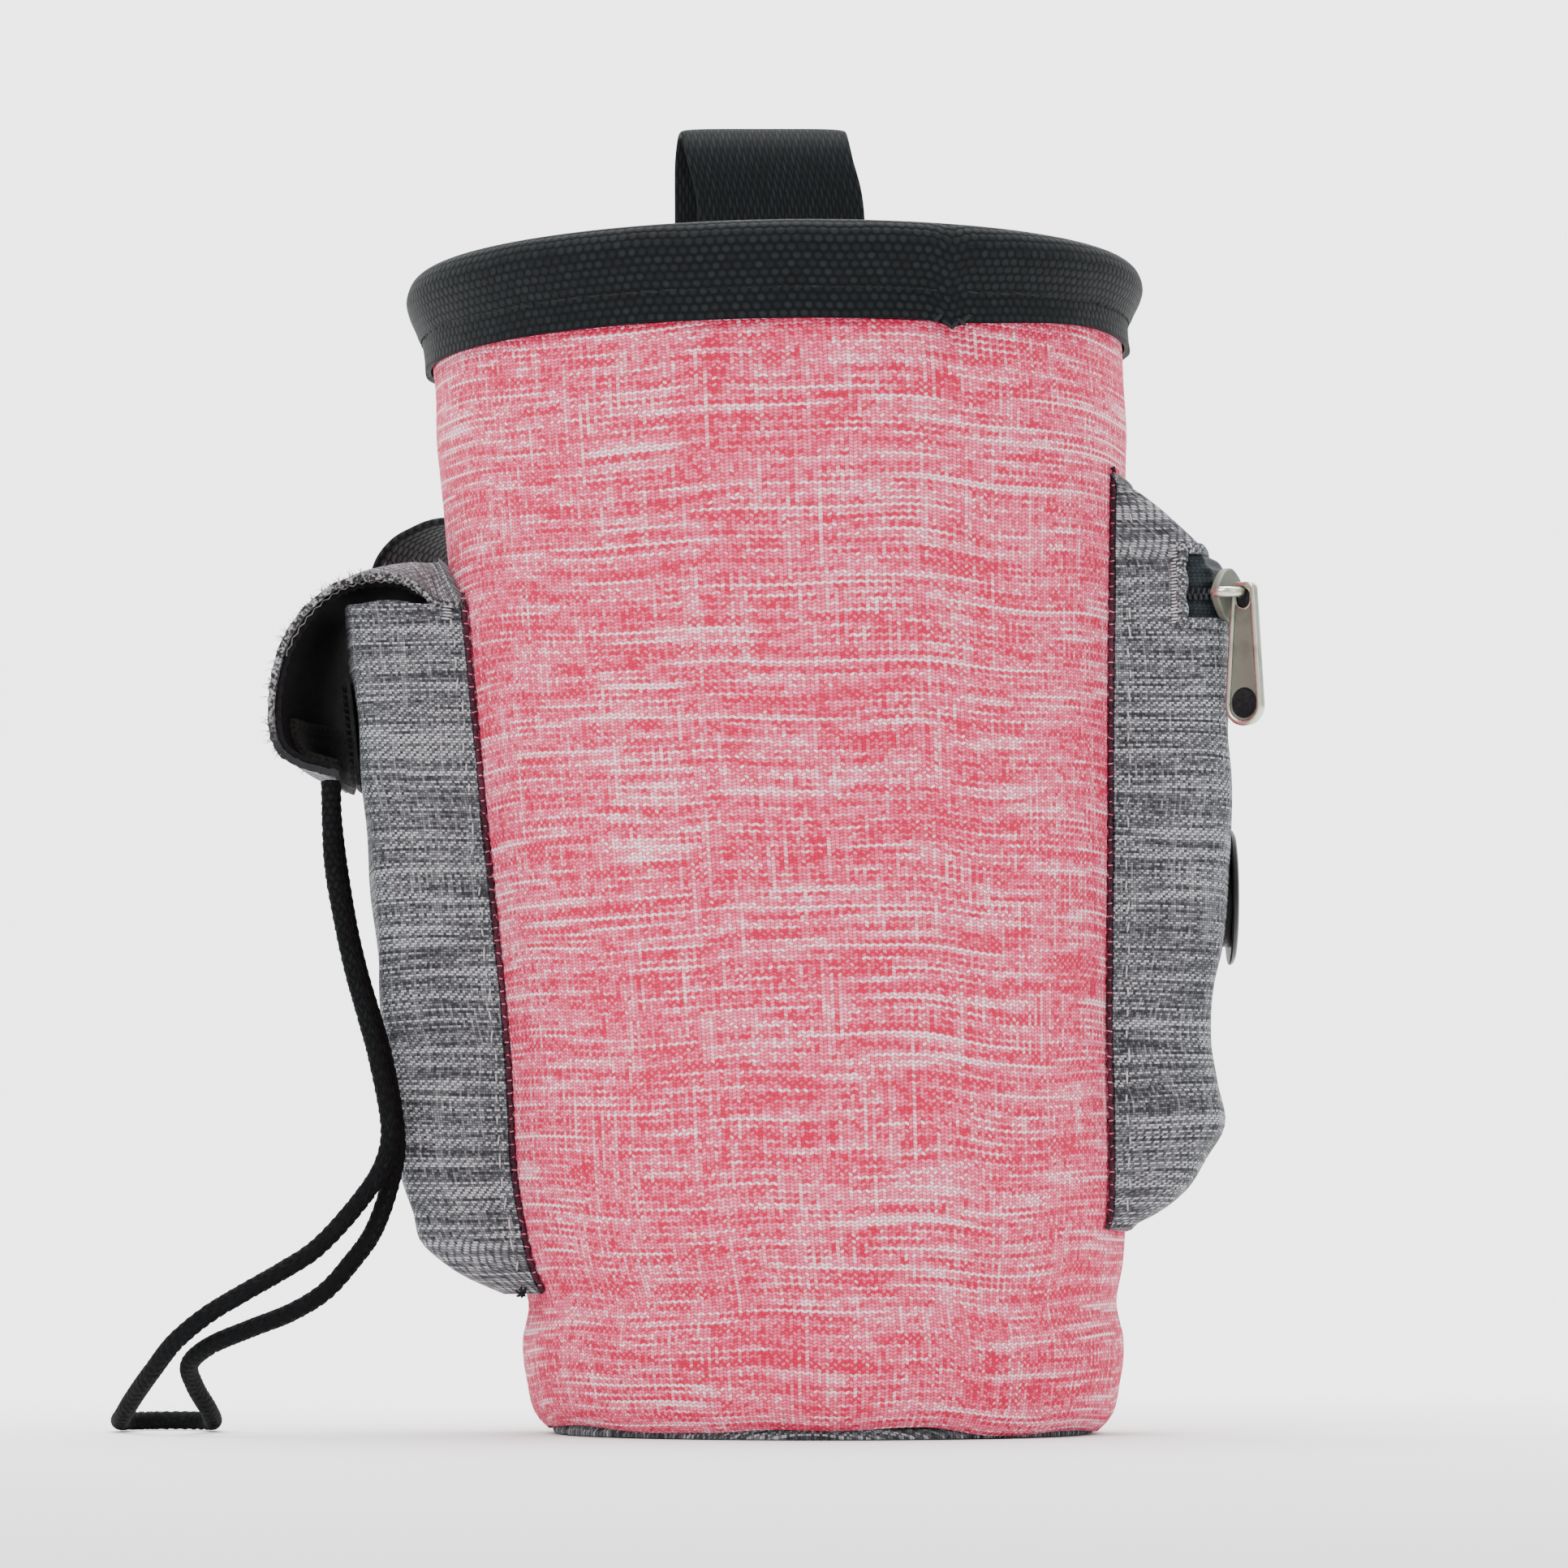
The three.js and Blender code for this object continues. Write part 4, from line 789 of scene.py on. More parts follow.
def makeRim():
    # the folded band's outer skin and its inner skin, swept round as one closed loop
    row = np.arange(len(rim["inset"]))
    at = np.linspace(0, row[-1], 73)
    inset = readSmooth(row, rim["inset"], at)[:, None]
    drop = readSmooth(row, rim["drop"], at)[:, None]
    angle = np.linspace(-1.5 * np.pi, 0.5 * np.pi, rim["columns"] + 1)[None, :]
    azimuth = np.degrees(np.angle(np.exp(1j * angle)))
    lump = np.exp(-((azimuth - rim["lumpAzimuth"]) / rim["lumpWidth"]) ** 2)
    tall = rimTall(angle)
    isOuter = 1 - step01(20, 28, at)[:, None]
    wave = 0.3 * np.sin(7 * angle + 0.6) + 0.2 * np.sin(17 * angle) + 0.12 * np.sin(31 * angle + 1)
    groove = rim["groove"] * np.exp(-((drop - rim["stitchDrop"]) / rim["grooveWidth"]) ** 2)
    out = 0.25 * wave * drop - groove + lump * rim["lumpOut"] * step01(0.6, 1, drop)
    radius = rim["radius"] - inset * rim["roll"] + isOuter * out
    height = rim["top"] - drop * tall - isOuter * drop * (0.4 * wave + lump * rim["lumpDrop"])
    skin = roundBody(radius, angle, np.minimum(height, rim["top"]))
    low = rim["top"] - tall
    high = bucket["topEdge"] + rim["slotLift"]
    slot = []
    for level, out in ((low, rim["slotInner"]), (high, rim["slotInner"]), (high, rim["slotOuter"]),
                       (low, rim["slotOuter"])):
        around = np.broadcast_to(level, angle.shape)
        slot.append(roundBody(bodyRadius(around) + out, angle, around))
    loop = np.concatenate([skin] + slot + [skin[:1]])
    makeSweep("rim_webbing", loop, aroundUv(loop, angle, rim["radius"]), [rimWebbing], "black_webbing",
              ("rim_band",), sharpDegrees=60)


def layAround(radius, angle, height, rise, *sizes):
    # a run of stitches that follow the rim, each climbing by its rise
    flat = np.zeros(len(angle))
    centre = roundBody(np.full(len(angle), radius), angle, np.asarray(height, float))
    along = np.stack([-np.sin(angle), np.cos(angle), rise], axis=1)
    return centre, along, np.stack([np.cos(angle), np.sin(angle), flat], axis=1), *sizes


def makeRimStitches():
    # the sewn line round the band, and the small tight stitches over its joint
    count = int(2 * np.pi * 61 / rim["stitchStep"])
    angle = np.arange(count) / count * 2 * np.pi
    height = rim["top"] - rim["stitchDrop"] * rimTall(angle) + dice.normal(0, 0.06, count)
    inset = readSmooth(np.arange(13), rim["inset"], rim["stitchRow"])
    radius = rim["radius"] - inset * rim["roll"] - 0.2
    turns = np.radians(rim["lumpAzimuth"] + np.array(rim["puckerTurns"]))
    layStitches("rim_stitches", [
        layAround(radius, angle, height, dice.normal(0, 0.05, count), 2.6, 0.4, 0.18),
        layAround(rim["puckerRadius"], turns, rim["puckerLevels"], rim["puckerLean"], 2.2, 0.7, 0.7)],
        blackThread, "black_webbing")


makeRim()
makeRimStitches()
print("rim made")


# The webbing loops

beltLoop = {
    "thickness": 1.7, "width": 30.0, "rise": 38.0, "depth": 9.4, "tail": 56.0, "skew": -4.6, "centre": -6.9,
    "stitchLevels": (145.5, 166.0), "stitchOut": 4.15,
    "back": [0, 0, 0, 0, 0, 0.06, 0.28, 0.5, 0.74, 0.95, 1, 1, 0.86, 0.2, 0],
    "up": [-1, -0.55, -0.28, 0.05, 0.58, 0.84, 0.955, 0.976, 0.955, 0.84, 0.58, 0.05, -0.3, -0.66, -1],
    "skewShare": [0, 0, 0, 0, 0.05, 0.5, 0.7, 0.8, 0.9, 1, 1, 1, 0.9, 0.6, 0.5],
}
sideLoop = {
    "width": 20.0, "top": 158.0, "height": 46.0, "reach": 25.0, "azimuth": 146.0, "thickness": 1.7,
    "out": [-0.01, 0.17, 0.38, 0.57, 0.75, 0.9, 0.98, 1, 0.95, 0.78, 0.5, 0.2, -0.01],
    "drop": [0.05, 0.01, 0.005, 0.03, 0.07, 0.15, 0.28, 0.45, 0.63, 0.8, 0.93, 0.985, 1],
}


def makeStrip(name, path, across, loop, material, replaced):
    # a flat band with rounded edges carried along a path; across is the direction of its width
    normal = unit(np.cross(np.gradient(path, axis=0), across))
    turn = np.linspace(0, 2 * np.pi, 41)
    x = np.sign(np.cos(turn)) * np.abs(np.cos(turn)) ** 0.35 * loop["width"] / 2
    z = np.sign(np.sin(turn)) * np.abs(np.sin(turn)) ** 0.6 * loop["thickness"] / 2
    grid = path[:, None] + across[None, None] * x[None, :, None] + normal[:, None] * z[None, :, None]
    caps = [np.repeat(path[:1, None], 41, axis=1), np.repeat(path[-1:, None], 41, axis=1)]
    run = arcLengths(path[:, None], 0)[:, 0]
    run = np.concatenate([run[:1], run, run[-1:]])
    uv = np.stack(np.broadcast_arrays(run[:, None], x[None, :]), axis=-1)
    makeSweep(name, np.concatenate([caps[0], grid, caps[1]]), uv, [material], "black_webbing", (replaced,),
              sharpDegrees=60, mend=True)


def makeBeltLoop():
    share = np.arange(len(beltLoop["back"]))
    at = np.linspace(0, share[-1], 120)
    back = readSmooth(share, beltLoop["back"], at)
    up = readSmooth(share, beltLoop["up"], at)
    skew = readSmooth(share, beltLoop["skewShare"], at)
    height = rim["top"] + np.where(up < 0, up * beltLoop["tail"], up * beltLoop["rise"])
    seat = np.where(height < rim["top"] - rim["height"] - 0.3, bodyRadius(height), rim["radius"])
    seat = np.convolve(np.pad(seat, 4, mode="edge"), np.ones(9) / 9, mode="valid")
    seat = np.maximum(seat, bodyRadius(height)) + 0.3 + beltLoop["thickness"] / 2
    ply = np.where(at > 7.5, beltLoop["thickness"] + 0.3, 0)
    y = seat + np.maximum(back * (beltLoop["thickness"] + beltLoop["depth"]), ply)
    path = np.stack([beltLoop["centre"] + skew * beltLoop["skew"], y, height], axis=1)
    makeStrip("belt_webbing", path, np.array([1.0, 0, 0]), beltLoop, loopWebbing, "belt_loop")


def makeSideLoop():
    share = np.arange(len(sideLoop["out"]))
    at = np.linspace(0, share[-1], 90)
    out = readSmooth(share, sideLoop["out"], at)
    height = sideLoop["top"] - readSmooth(share, sideLoop["drop"], at) * sideLoop["height"]
    angle = math.radians(sideLoop["azimuth"])
    path = roundBody(bodyRadius(height) + out * sideLoop["reach"], np.full(90, angle), height)
    across = np.array([-math.sin(angle), math.cos(angle), 0])
    makeStrip("side_webbing", path, across, sideLoop, ribbedWebbing, "side_loop")


def makeLoopStitches():
    # boxes of stitches that hold the belt loop's tails to the back
    run = np.arange(-12.5, 12.6, 2.5)
    rows = []
    for level in beltLoop["stitchLevels"]:
        height = np.full(len(run), level)
        x = beltLoop["centre"] - 1.5 + run
        centre = np.stack([x, bodyRadius(height) + beltLoop["stitchOut"], height], axis=1)
        rows.append((centre, (1, 0, 0), (0, 1, 0), 2.0, 0.5, 0.5))
    layStitches("loop_stitches", rows, blackThread, "black_webbing")


makeBeltLoop()
makeSideLoop()
makeLoopStitches()
print("loops made")


# The side pockets. side is -1 on the left and 1 on the right

flapPocket = {
    "side": -1, "bottom": 15.0, "top": 138.0, "depth": 16.7, "corner": 3.5, "half": 20.0, "bulge": 1.2,
    "wall": 1.3, "start": 0.068, "cornerFall": 0.0, "fallLow": 100.0, "fallHigh": 120.0,
    "level": [0, 0.053, 0.135, 0.176, 0.226, 0.39, 0.72, 1],
    "share": [-0.74, -0.04, 0.81, 0.84, 0.93, 1, 0.976, 1],
    "creases": [
        ((-69.3, -20, 47), (-65.6, -20, 45.6), 0.6, 1.1), ((-65.6, -20, 45.6), (-58.5, -20, 42.4), 0.6, 1.2),
        ((-58, -20, 46.2), (-51.8, -20, 42.6), -0.5, 1.1),
        ((-75.2, -20, 95.4), (-65.4, -20, 92.4), 0.4, 1.5),
        ((-77.8, -19, 122), (-66, -20, 116), 0.35, 2.2), ((-76, -20, 60), (-56, -20, 67), -0.45, 3.2),
        ((-79, -8, 36), (-76, 10, 44), -0.7, 3.0), ((-84, -12, 86), (-83, 9, 79), -0.5, 3.4)],
}
zipPocket = {
    "side": 1, "bottom": 30.0, "top": 162.0, "depth": 16.7, "corner": 5.0, "half": 20.0, "bulge": 1.2,
    "wall": 1.3, "start": 0.03, "windowLow": 135.0, "windowHigh": 146.5, "windowStart": 60.2,
    "outletHeight": 90.0, "outletCut": 9.3, "tapeBulge": 4.0, "tapeMiddle": 140.0, "tapeHalf": 9.5,
    "tapeLow": 134.4, "tapeHigh": 147.1, "coilHeight": 139.4, "hemLevels": (134.5, 147.0), "hemStart": 58.8,
    "frontHem": {"x": 59.5, "y": -20.25, "low": 133.9, "high": 147.6},
    "cornerFall": 3.2, "fallLow": 139.0, "fallHigh": 146.0,
    "level": [0, 0.033, 0.052, 0.072, 0.127, 0.157, 0.221, 0.259, 0.297, 0.392, 0.512, 0.658, 0.795, 0.84,
              0.87, 0.902, 0.942, 0.975, 1],
    "share": [-0.72, -0.04, 0.25, 0.455, 0.75, 0.9, 0.85, 0.795, 0.805, 0.935, 1, 1, 0.975, 0.93,
              0.81, 0.61, 0.23, -0.18, -0.78],
    "creases": [
        ((50, -20, 118), (62, -20, 108), 0.4, 1.8), ((54, -20, 62), (64, -20, 70), -0.5, 2.6),
        ((60, -20, 52), (66, -16, 57), 0.7, 2.2), ((68, -10, 66), (69, 8, 60), -0.6, 3.0),
        ((50, -20, 84), (60, -20, 92), 0.35, 2.0), ((64, -19, 76), (58, -20, 69), 0.45, 1.6)],
}


def bodySide(side, height):
    return side * bodyCentre(height) + bodyRadius(height)


def reachAt(pocket, height):
    # distance of the pocket's outer face from the base's centre, along its own side
    level = (height - pocket["bottom"]) / (pocket["top"] - pocket["bottom"])
    share = readSmooth(pocket["level"], pocket["share"], level)
    return bodySide(pocket["side"], height) + share * pocket["depth"]


def faceAt(pocket, height, y):
    # the same on the flat of the outer face, which bulges towards its middle
    flat = pocket["half"] - pocket["corner"]
    return reachAt(pocket, height) + pocket["bulge"] * (1 - (y / flat) ** 2)


def cornerAt(pocket, height, inset):
    # the corner between gusset and face grows tighter under the zip pocket's roof
    fall = pocket["cornerFall"] * step01(pocket["fallLow"], pocket["fallHigh"], height)
    return np.maximum(pocket["corner"] - fall - inset, 0.8)[:, None]


def gussetRoot(pocket, height, half, end):
    # where the gusset meets the bucket, or a little short of its own end inside the bucket
    seat = np.sqrt((bodyRadius(height)[:, None] + 0.4) ** 2 - half ** 2)
    return np.minimum(pocket["side"] * bodyCentre(height)[:, None] + seat, end - 1.5)


def planGrid(pocket, height, inset, counts, split=None):
    # the plan of a pocket at each height: front gusset, corner, outer face, corner, back gusset
    half = pocket["half"] - inset
    outer = (reachAt(pocket, height) - inset)[:, None]
    corner = cornerAt(pocket, height, inset)
    side = pocket["side"]
    end = outer - corner
    root = gussetRoot(pocket, height, half, end)
    if split is None:
        share = np.linspace(0, 1, counts[0])[None, :]
        gusset = root + share * (end - root)
    else:
        near = np.clip(height, zipPocket["windowLow"], zipPocket["windowHigh"])
        nearEnd = (reachAt(pocket, near) - inset)[:, None] - cornerAt(pocket, near, inset)
        nearRoot = gussetRoot(pocket, near, half, nearEnd)
        middle = root + (split - nearRoot) / (nearEnd - nearRoot) * (end - root)
        first = root + np.linspace(0, 1, counts[0])[None, :] * (middle - root)
        second = middle + np.linspace(0, 1, counts[1])[None, 1:] * (end - middle)
        gusset = np.concatenate([first, second], axis=1)
    turn = np.linspace(-np.pi / 2, 0, counts[2])[None, 1:]
    cornerX = outer - corner + corner * np.cos(turn)
    cornerY = np.broadcast_to(-half + corner + corner * np.sin(turn), cornerX.shape)
    face = np.linspace(-1, 1, counts[3])[None, 1:-1]
    faceX = outer + pocket["bulge"] * (1 - face ** 2)
    faceY = np.broadcast_to(face * (half - corner), faceX.shape)
    x = np.concatenate([gusset, cornerX, faceX, cornerX[:, ::-1], gusset[:, ::-1]], axis=1)
    y = np.concatenate([np.full_like(gusset, -half), cornerY, faceY, -cornerY[:, ::-1],
                        np.full_like(gusset, half)], axis=1)
    z = np.broadcast_to(height[:, None], x.shape)
    grid = np.stack([side * x, y, z], axis=-1)
    return grid if side > 0 else grid[:, ::-1]


def hugBody(grid, clear):
    # moves what would lie inside the bucket out to its skin
    centre = bodyCentre(grid[..., 2])
    dx = grid[..., 0] - centre
    dy = grid[..., 1]
    away = np.hypot(dx, dy)
    least = bodyRadius(grid[..., 2]) + clear
    scale = np.maximum(least / np.maximum(away, 1e-6), 1)
    moved = grid.copy()
    moved[..., 0] = centre + dx * scale
    moved[..., 1] = dy * scale
    return moved


def creaseField(points, creases):
    # a soft ridge or groove round each line, fading out at its ends
    total = np.zeros(points.shape[:-1])
    for start, end, depth, width in creases:
        start = np.array(start, float)
        line = np.array(end, float) - start
        share = np.clip(((points - start) @ line) / (line @ line), 0, 1)
        away = np.linalg.norm(points - start - share[..., None] * line, axis=-1)
        total += depth * np.exp(-(away / width) ** 2) * (0.35 + 0.65 * np.sin(np.pi * share))
    return total


def pocketSkins(pocket, height, counts, split=None):
    grid = planGrid(pocket, height, 0.0, counts, split)
    normal = gridNormals(grid)
    x, y, z = np.moveaxis(grid, -1, 0)
    soft = 0.22 * np.sin(z * 0.16 + y * 0.21) + 0.16 * np.sin(z * 0.31 - x * 0.3 + 1.0)
    shift = creaseField(grid, pocket["creases"]) + soft * step01(0, 3, np.abs(z - pocket["top"]))
    outer = grid + normal * shift[..., None]
    inner = outer - gridNormals(outer) * pocket["wall"]
    return hugBody(outer, 1.3), hugBody(inner, 0.15)


def closeBottom(pocket, outer, inner):
    # one more row at the lower end, drawn in to the bucket's skin
    skins = []
    for skin, clear, lift in ((outer, 1.3, 0), (inner, 0.15, pocket["wall"])):
        row = skin[:1].copy()
        centre = bodyCentre(row[..., 2])
        away = np.hypot(row[..., 0] - centre, row[..., 1])
        scale = (bodyRadius(row[..., 2]) + clear) / away
        row[..., 0] = centre + (row[..., 0] - centre) * scale
        row[..., 1] *= scale
        row[..., 2] += lift
        skins.append(np.concatenate([row, skin]))
    return skins


def makeFlapPocket():
    low = flapPocket["bottom"] + flapPocket["start"] * (flapPocket["top"] - flapPocket["bottom"])
    height = np.linspace(low, flapPocket["top"], 90)
    outer, inner = closeBottom(flapPocket, *pocketSkins(flapPocket, height, (14, 0, 8, 34)))
    wave = 0.35 * np.sin(outer[..., 0] * 0.5) * step01(110, 138, outer[..., 2])
    outer[..., 2] += wave
    inner[..., 2] += wave
    makeCloth("left_pocket", outer, inner, [grayCloth, darkLining], "gray_cloth", ("flap_pocket",),
              level=True, bevel=0.3)


def makeZipPocket():
    low = zipPocket["bottom"] + zipPocket["start"] * (zipPocket["top"] - zipPocket["bottom"])
    high = zipPocket["top"] - 0.02 * (zipPocket["top"] - zipPocket["bottom"])
    below = np.linspace(low, zipPocket["windowLow"], 76)
    window = np.linspace(zipPocket["windowLow"], zipPocket["windowHigh"], 9)[1:]
    above = np.linspace(zipPocket["windowHigh"], high, 18)[1:]
    height = np.concatenate([below, window, above])
    outer, inner = closeBottom(zipPocket,
                               *pocketSkins(zipPocket, height, (9, 8, 9, 34), zipPocket["windowStart"]))
    rows, columns = outer.shape[:2]
    keep = np.ones((rows - 1, columns - 1), bool)
    keep[76:84, 8:columns - 9] = False
    middle = (outer[:-1, :-1] + outer[1:, 1:]) / 2
    keep &= np.hypot(middle[..., 1], middle[..., 2] - zipPocket["outletHeight"]) > zipPocket["outletCut"]
    makeCloth("right_pocket", outer, inner, [grayCloth, darkLining], "gray_cloth", ("zip_pocket",), keep,
              level=True, bevel=0.3)


def tapeOut(height, y):
    # how far the loose tape stands out in the middle of the window, near the front corner
    loose = 1 - ((height - zipPocket["tapeMiddle"]) / zipPocket["tapeHalf"]) ** 2
    return zipPocket["tapeBulge"] * loose * np.exp(-((y + 8.0) / 6.5) ** 2)


def windowLine(height, inset, points, front):
    # the line round the zip's window at one height, from the front gusset to the back one
    grid = planGrid(zipPocket, np.array([height]), inset, (9, 10, 9, 34), front)[0]
    inside = grid[8:len(grid) - 8]
    run = arcLengths(inside[:, None], 0)[:, 0]
    even = np.linspace(0, run[-1], points)
    line = readLine(inside, run, even)
    line[:, 0] += tapeOut(height, line[:, 1])
    return line


def makeZip():
    # the tape is a ribbed band set into the window; the coil is two rows of small rounded teeth
    levels = np.linspace(zipPocket["tapeLow"], zipPocket["tapeHigh"], 44)
    rows = np.stack([windowLine(level, 1.0, 90, 59.4) for level in levels])
    normal = gridNormals(rows)
    above = (levels - zipPocket["coilHeight"])[:, None]
    rib = 0.16 * np.cos(above * 2 * np.pi / 2.1)
    groove = -0.5 * np.exp(-(above / 0.8) ** 2)
    outer = rows + normal * (rib + groove)[..., None]
    inner = outer - normal * 0.7
    makeCloth("zip_tape", outer, inner, [tapeWebbing], "black_webbing", ("zipper_tape",))
    line = windowLine(zipPocket["coilHeight"], 0.75, 400, 59.6)
    run = arcLengths(line[:, None], 0)[:, 0]
    place = np.arange(0.6, run[-1] - 0.6, 0.95)
    centre = readLine(line, run, place)
    up = np.array([0, 0, 1.0])
    tangent, out, _ = frameAlong(centre, up)
    lean = tangent * 0.25
    sizes = (1.35, 0.62, 0.75)
    layStitches("zip_coil", [
        (centre + up * 0.42 + out * 0.1, up + lean, out, *sizes),
        (centre - up * 0.42 + lean * 1.8 + out * 0.1, up - lean, out, *sizes)],
        zipTeeth, "black_webbing", ("zipper_coil",))


def makeWindowHems():
    # the cloth folded back along the window's long edges, and at its front end
    grids = []
    for level in zipPocket["hemLevels"]:
        line = windowLine(level, 0.1, 90, zipPocket["hemStart"])
        line[:, 0] -= tapeOut(level, line[:, 1]) * 0.8
        grids.append(tubeGrid(line, (0, 0, 1), 1.5, 1.9, 10))
    hem = zipPocket["frontHem"]
    height = np.linspace(hem["low"], hem["high"], 24)
    front = np.stack([hem["x"] + 0.25 * np.sin(height * 1.3), np.full(24, hem["y"]), height], axis=1)
    grids.append(tubeGrid(front, (0, 1, 0), 1.9, 1.3, 10))
    makeTubes("window_hems", grids, grayCloth, "gray_cloth", sharpDegrees=60)


makeFlapPocket()
makeZipPocket()
makeZip()
makeWindowHems()
print("pockets made")


# The flap over the left pocket, its lining and the closure

flap = {
    "thickness": 1.1, "lining": 0.9, "half": 21.0, "rise": 4.8, "fall": 34.4, "reach": 29.4, "crown": 10.5,
    "sag": 0.8, "liningStart": 0.2, "fibres": 220, "teeth": 34,
    "out": [-0.197, -0.078, 0.051, 0.129, 0.211, 0.347, 0.51, 0.66, 0.806, 0.925, 0.993, 1, 0.959, 0.864,
            0.724, 0.605],
    "drop": [0.169, 0.151, 0.134, 0.076, 0.023, 0, 0.012, 0.067, 0.177, 0.334, 0.547, 0.738, 0.86, 0.93,
             0.968, 0.991],
    "crownShare": [1, 0.93, 0.82, 0.6, 0.42, 0.28, 0.2, 0.16, 0.12, 0.09, 0.055, 0.035, 0.018, 0, 0, 0],
    "close": [0, 0, 0, 0, 0, 0, 0.02, 0.07, 0.13, 0.24, 0.31, 0.335, 0.295, 0.17, 0.05, 0],
    "frill": 0.4, "squares": (0.71, 0.75),
}


def flapPoint(across, along):
    # across runs from the back edge to the front one, along from the body to the free end
    row = np.linspace(0, 1, len(flap["out"]))
    middle = 1 - (2 * across - 1) ** 2
    out = readSmooth(row, flap["out"], along)
    drop = readSmooth(row, flap["drop"], along)
    crown = readSmooth(row, flap["crownShare"], along)
    out = out - readSmooth(row, flap["close"], along) * (1 - across)
    start = bodySide(-1, np.array(flapPocket["top"]))
    reach = start + out * flap["reach"] + flap["sag"] * middle * along
    height = flapPocket["top"] + flap["rise"] - drop * flap["fall"] + crown * flap["crown"] * middle
    soft = 0.3 * np.sin(across * 9 + along * 7) * step01(0.1, 0.3, along)
    return np.stack(np.broadcast_arrays(-reach, (1 - 2 * across) * flap["half"], height + soft * 0.6),
                    axis=-1)


def flapSheet(start, end, margin, rows, columns):
    # a part of the flap's outer surface
    return flapPoint(np.linspace(margin, 1 - margin, columns)[None, :],
                     np.linspace(start, end, rows)[:, None])


def edgeShare(rows, columns, width, size):
    # 1 on the cut edges, 0 a little way in
    across = np.minimum(np.arange(columns), np.arange(columns)[::-1])[None, :] * size[0]
    along = (rows - 1 - np.arange(rows))[:, None] * size[1]
    near = np.minimum(across, np.broadcast_to(along, (rows, columns)))
    return 1 - step01(0, width, near)


def makeFlap():
    grid = flapSheet(0.02, 1, 0, 90, 60)
    normal = gridNormals(grid)
    rough = dice.normal(0, 0.12, grid.shape[:2]) * edgeShare(90, 60, 1.2, flap["squares"])
    grid = grid + normal * rough[..., None]
    grid[:, 0, 1] += dice.normal(0, 0.1, 90)
    grid[:, -1, 1] += dice.normal(0, 0.1, 90)
    outer = hugBody(grid, 1.5)
    inner = hugBody(grid + normal * flap["thickness"], 0.2)
    edge = edgeShare(90, 60, 1.3, flap["squares"])
    curl = np.repeat(step01(0.66, 0.8, np.linspace(0, 1, 90)), 60)
    makeCloth("flap_cloth", inner, outer, [grayEdged], "gray_cloth", ("pocket_flap",),
              extras={"edge": np.tile(edge.ravel(), 2), "curl": np.tile(curl, 2)}, bevel=0.25, mend=True)


def makeFlapLining():
    top = flapSheet(flap["liningStart"], 1, 0.02, 160, 44)
    normal = gridNormals(top)
    tooth = np.abs(np.mod(np.arange(160) / 160 * flap["teeth"], 1) * 2 - 1)[:, None]
    frill = flap["frill"] * tooth * np.exp(-(20 + top[..., 1]) / 1.1) * (1
                                                                         - step01(70, 120,
                                                                                  np.arange(160)))[:, None]
    top = top + normal * frill[..., None]
    outer = hugBody(top + normal * (flap["thickness"] + 0.1), 0.3)
    inner = hugBody(top + normal * (flap["thickness"] + 0.1 + flap["lining"]), 0.3)
    makeCloth("flap_inner", inner, outer, [flapLining], "black_cloth", ("flap_lining",), bevel=0.25,
              mend=True)


closure = {
    "start": 0.72, "end": 0.985, "margin": 0.14, "half": 13, "low": 108, "high": 126, "plate": 0.8,
    "plateGap": 0.35, "hookHalf": 12.2, "hookLow": 109, "hookHigh": 125.6, "hookSteps": (1.25, 1.2),
    "hookOut": 1.4,
}


def makeFlapPatch():
    # the soft half of the closure, on the lining's curled end
    depth = flap["thickness"] + flap["lining"] + 0.2
    grid = flapSheet(closure["start"], closure["end"], closure["margin"], 24, 40)
    normal = gridNormals(grid)
    lumps = 0.15 * np.sin(np.arange(40) * 1.9)[None, :] * np.sin(np.arange(24) * 2.3)[:, None]
    outer = grid + normal * depth
    inner = grid + normal * (depth + 1.0 + lumps)[..., None]
    makeCloth("loop_patch", inner, outer, [loopNap], "black_cloth", ("flap_patch",), bevel=0.2, mend=True)


def makeHookPatch():
    # the stiff half, on the pocket's outer face, with rows of small hooks
    y = np.linspace(-closure["half"], closure["half"], 40)[None, :]
    height = np.linspace(closure["low"], closure["high"], 26)[:, None]
    seat = faceAt(flapPocket, height, y) + closure["plateGap"]
    base = np.stack(np.broadcast_arrays(-seat, y, height), axis=-1)
    face = base - [closure["plate"], 0, 0]
    makeCloth("hook_plate", face, base, [hookPlastic], "black_cloth", ("pocket_patch",), bevel=0.2,
              mend=True)
    hookY, hookZ = np.meshgrid(
        np.arange(-closure["hookHalf"], closure["hookHalf"] + 0.1, closure["hookSteps"][0]),
        np.arange(closure["hookLow"], closure["hookHigh"], closure["hookSteps"][1]))
    hookY = hookY.ravel()
    hookZ = hookZ.ravel()
    centre = np.stack([-faceAt(flapPocket, hookZ, hookY) - closure["hookOut"], hookY, hookZ], axis=1)
    lean = np.array([-1.0, 0, 0]) + np.where(hookY * 8 % 2 < 1, 0.5, -0.5)[:, None] * [0, 0, 1]
    layStitches("closure_hooks", [(centre, lean, (0, 0, 1), 1.1, 0.35, 0.35)], hookPlastic, "black_cloth")


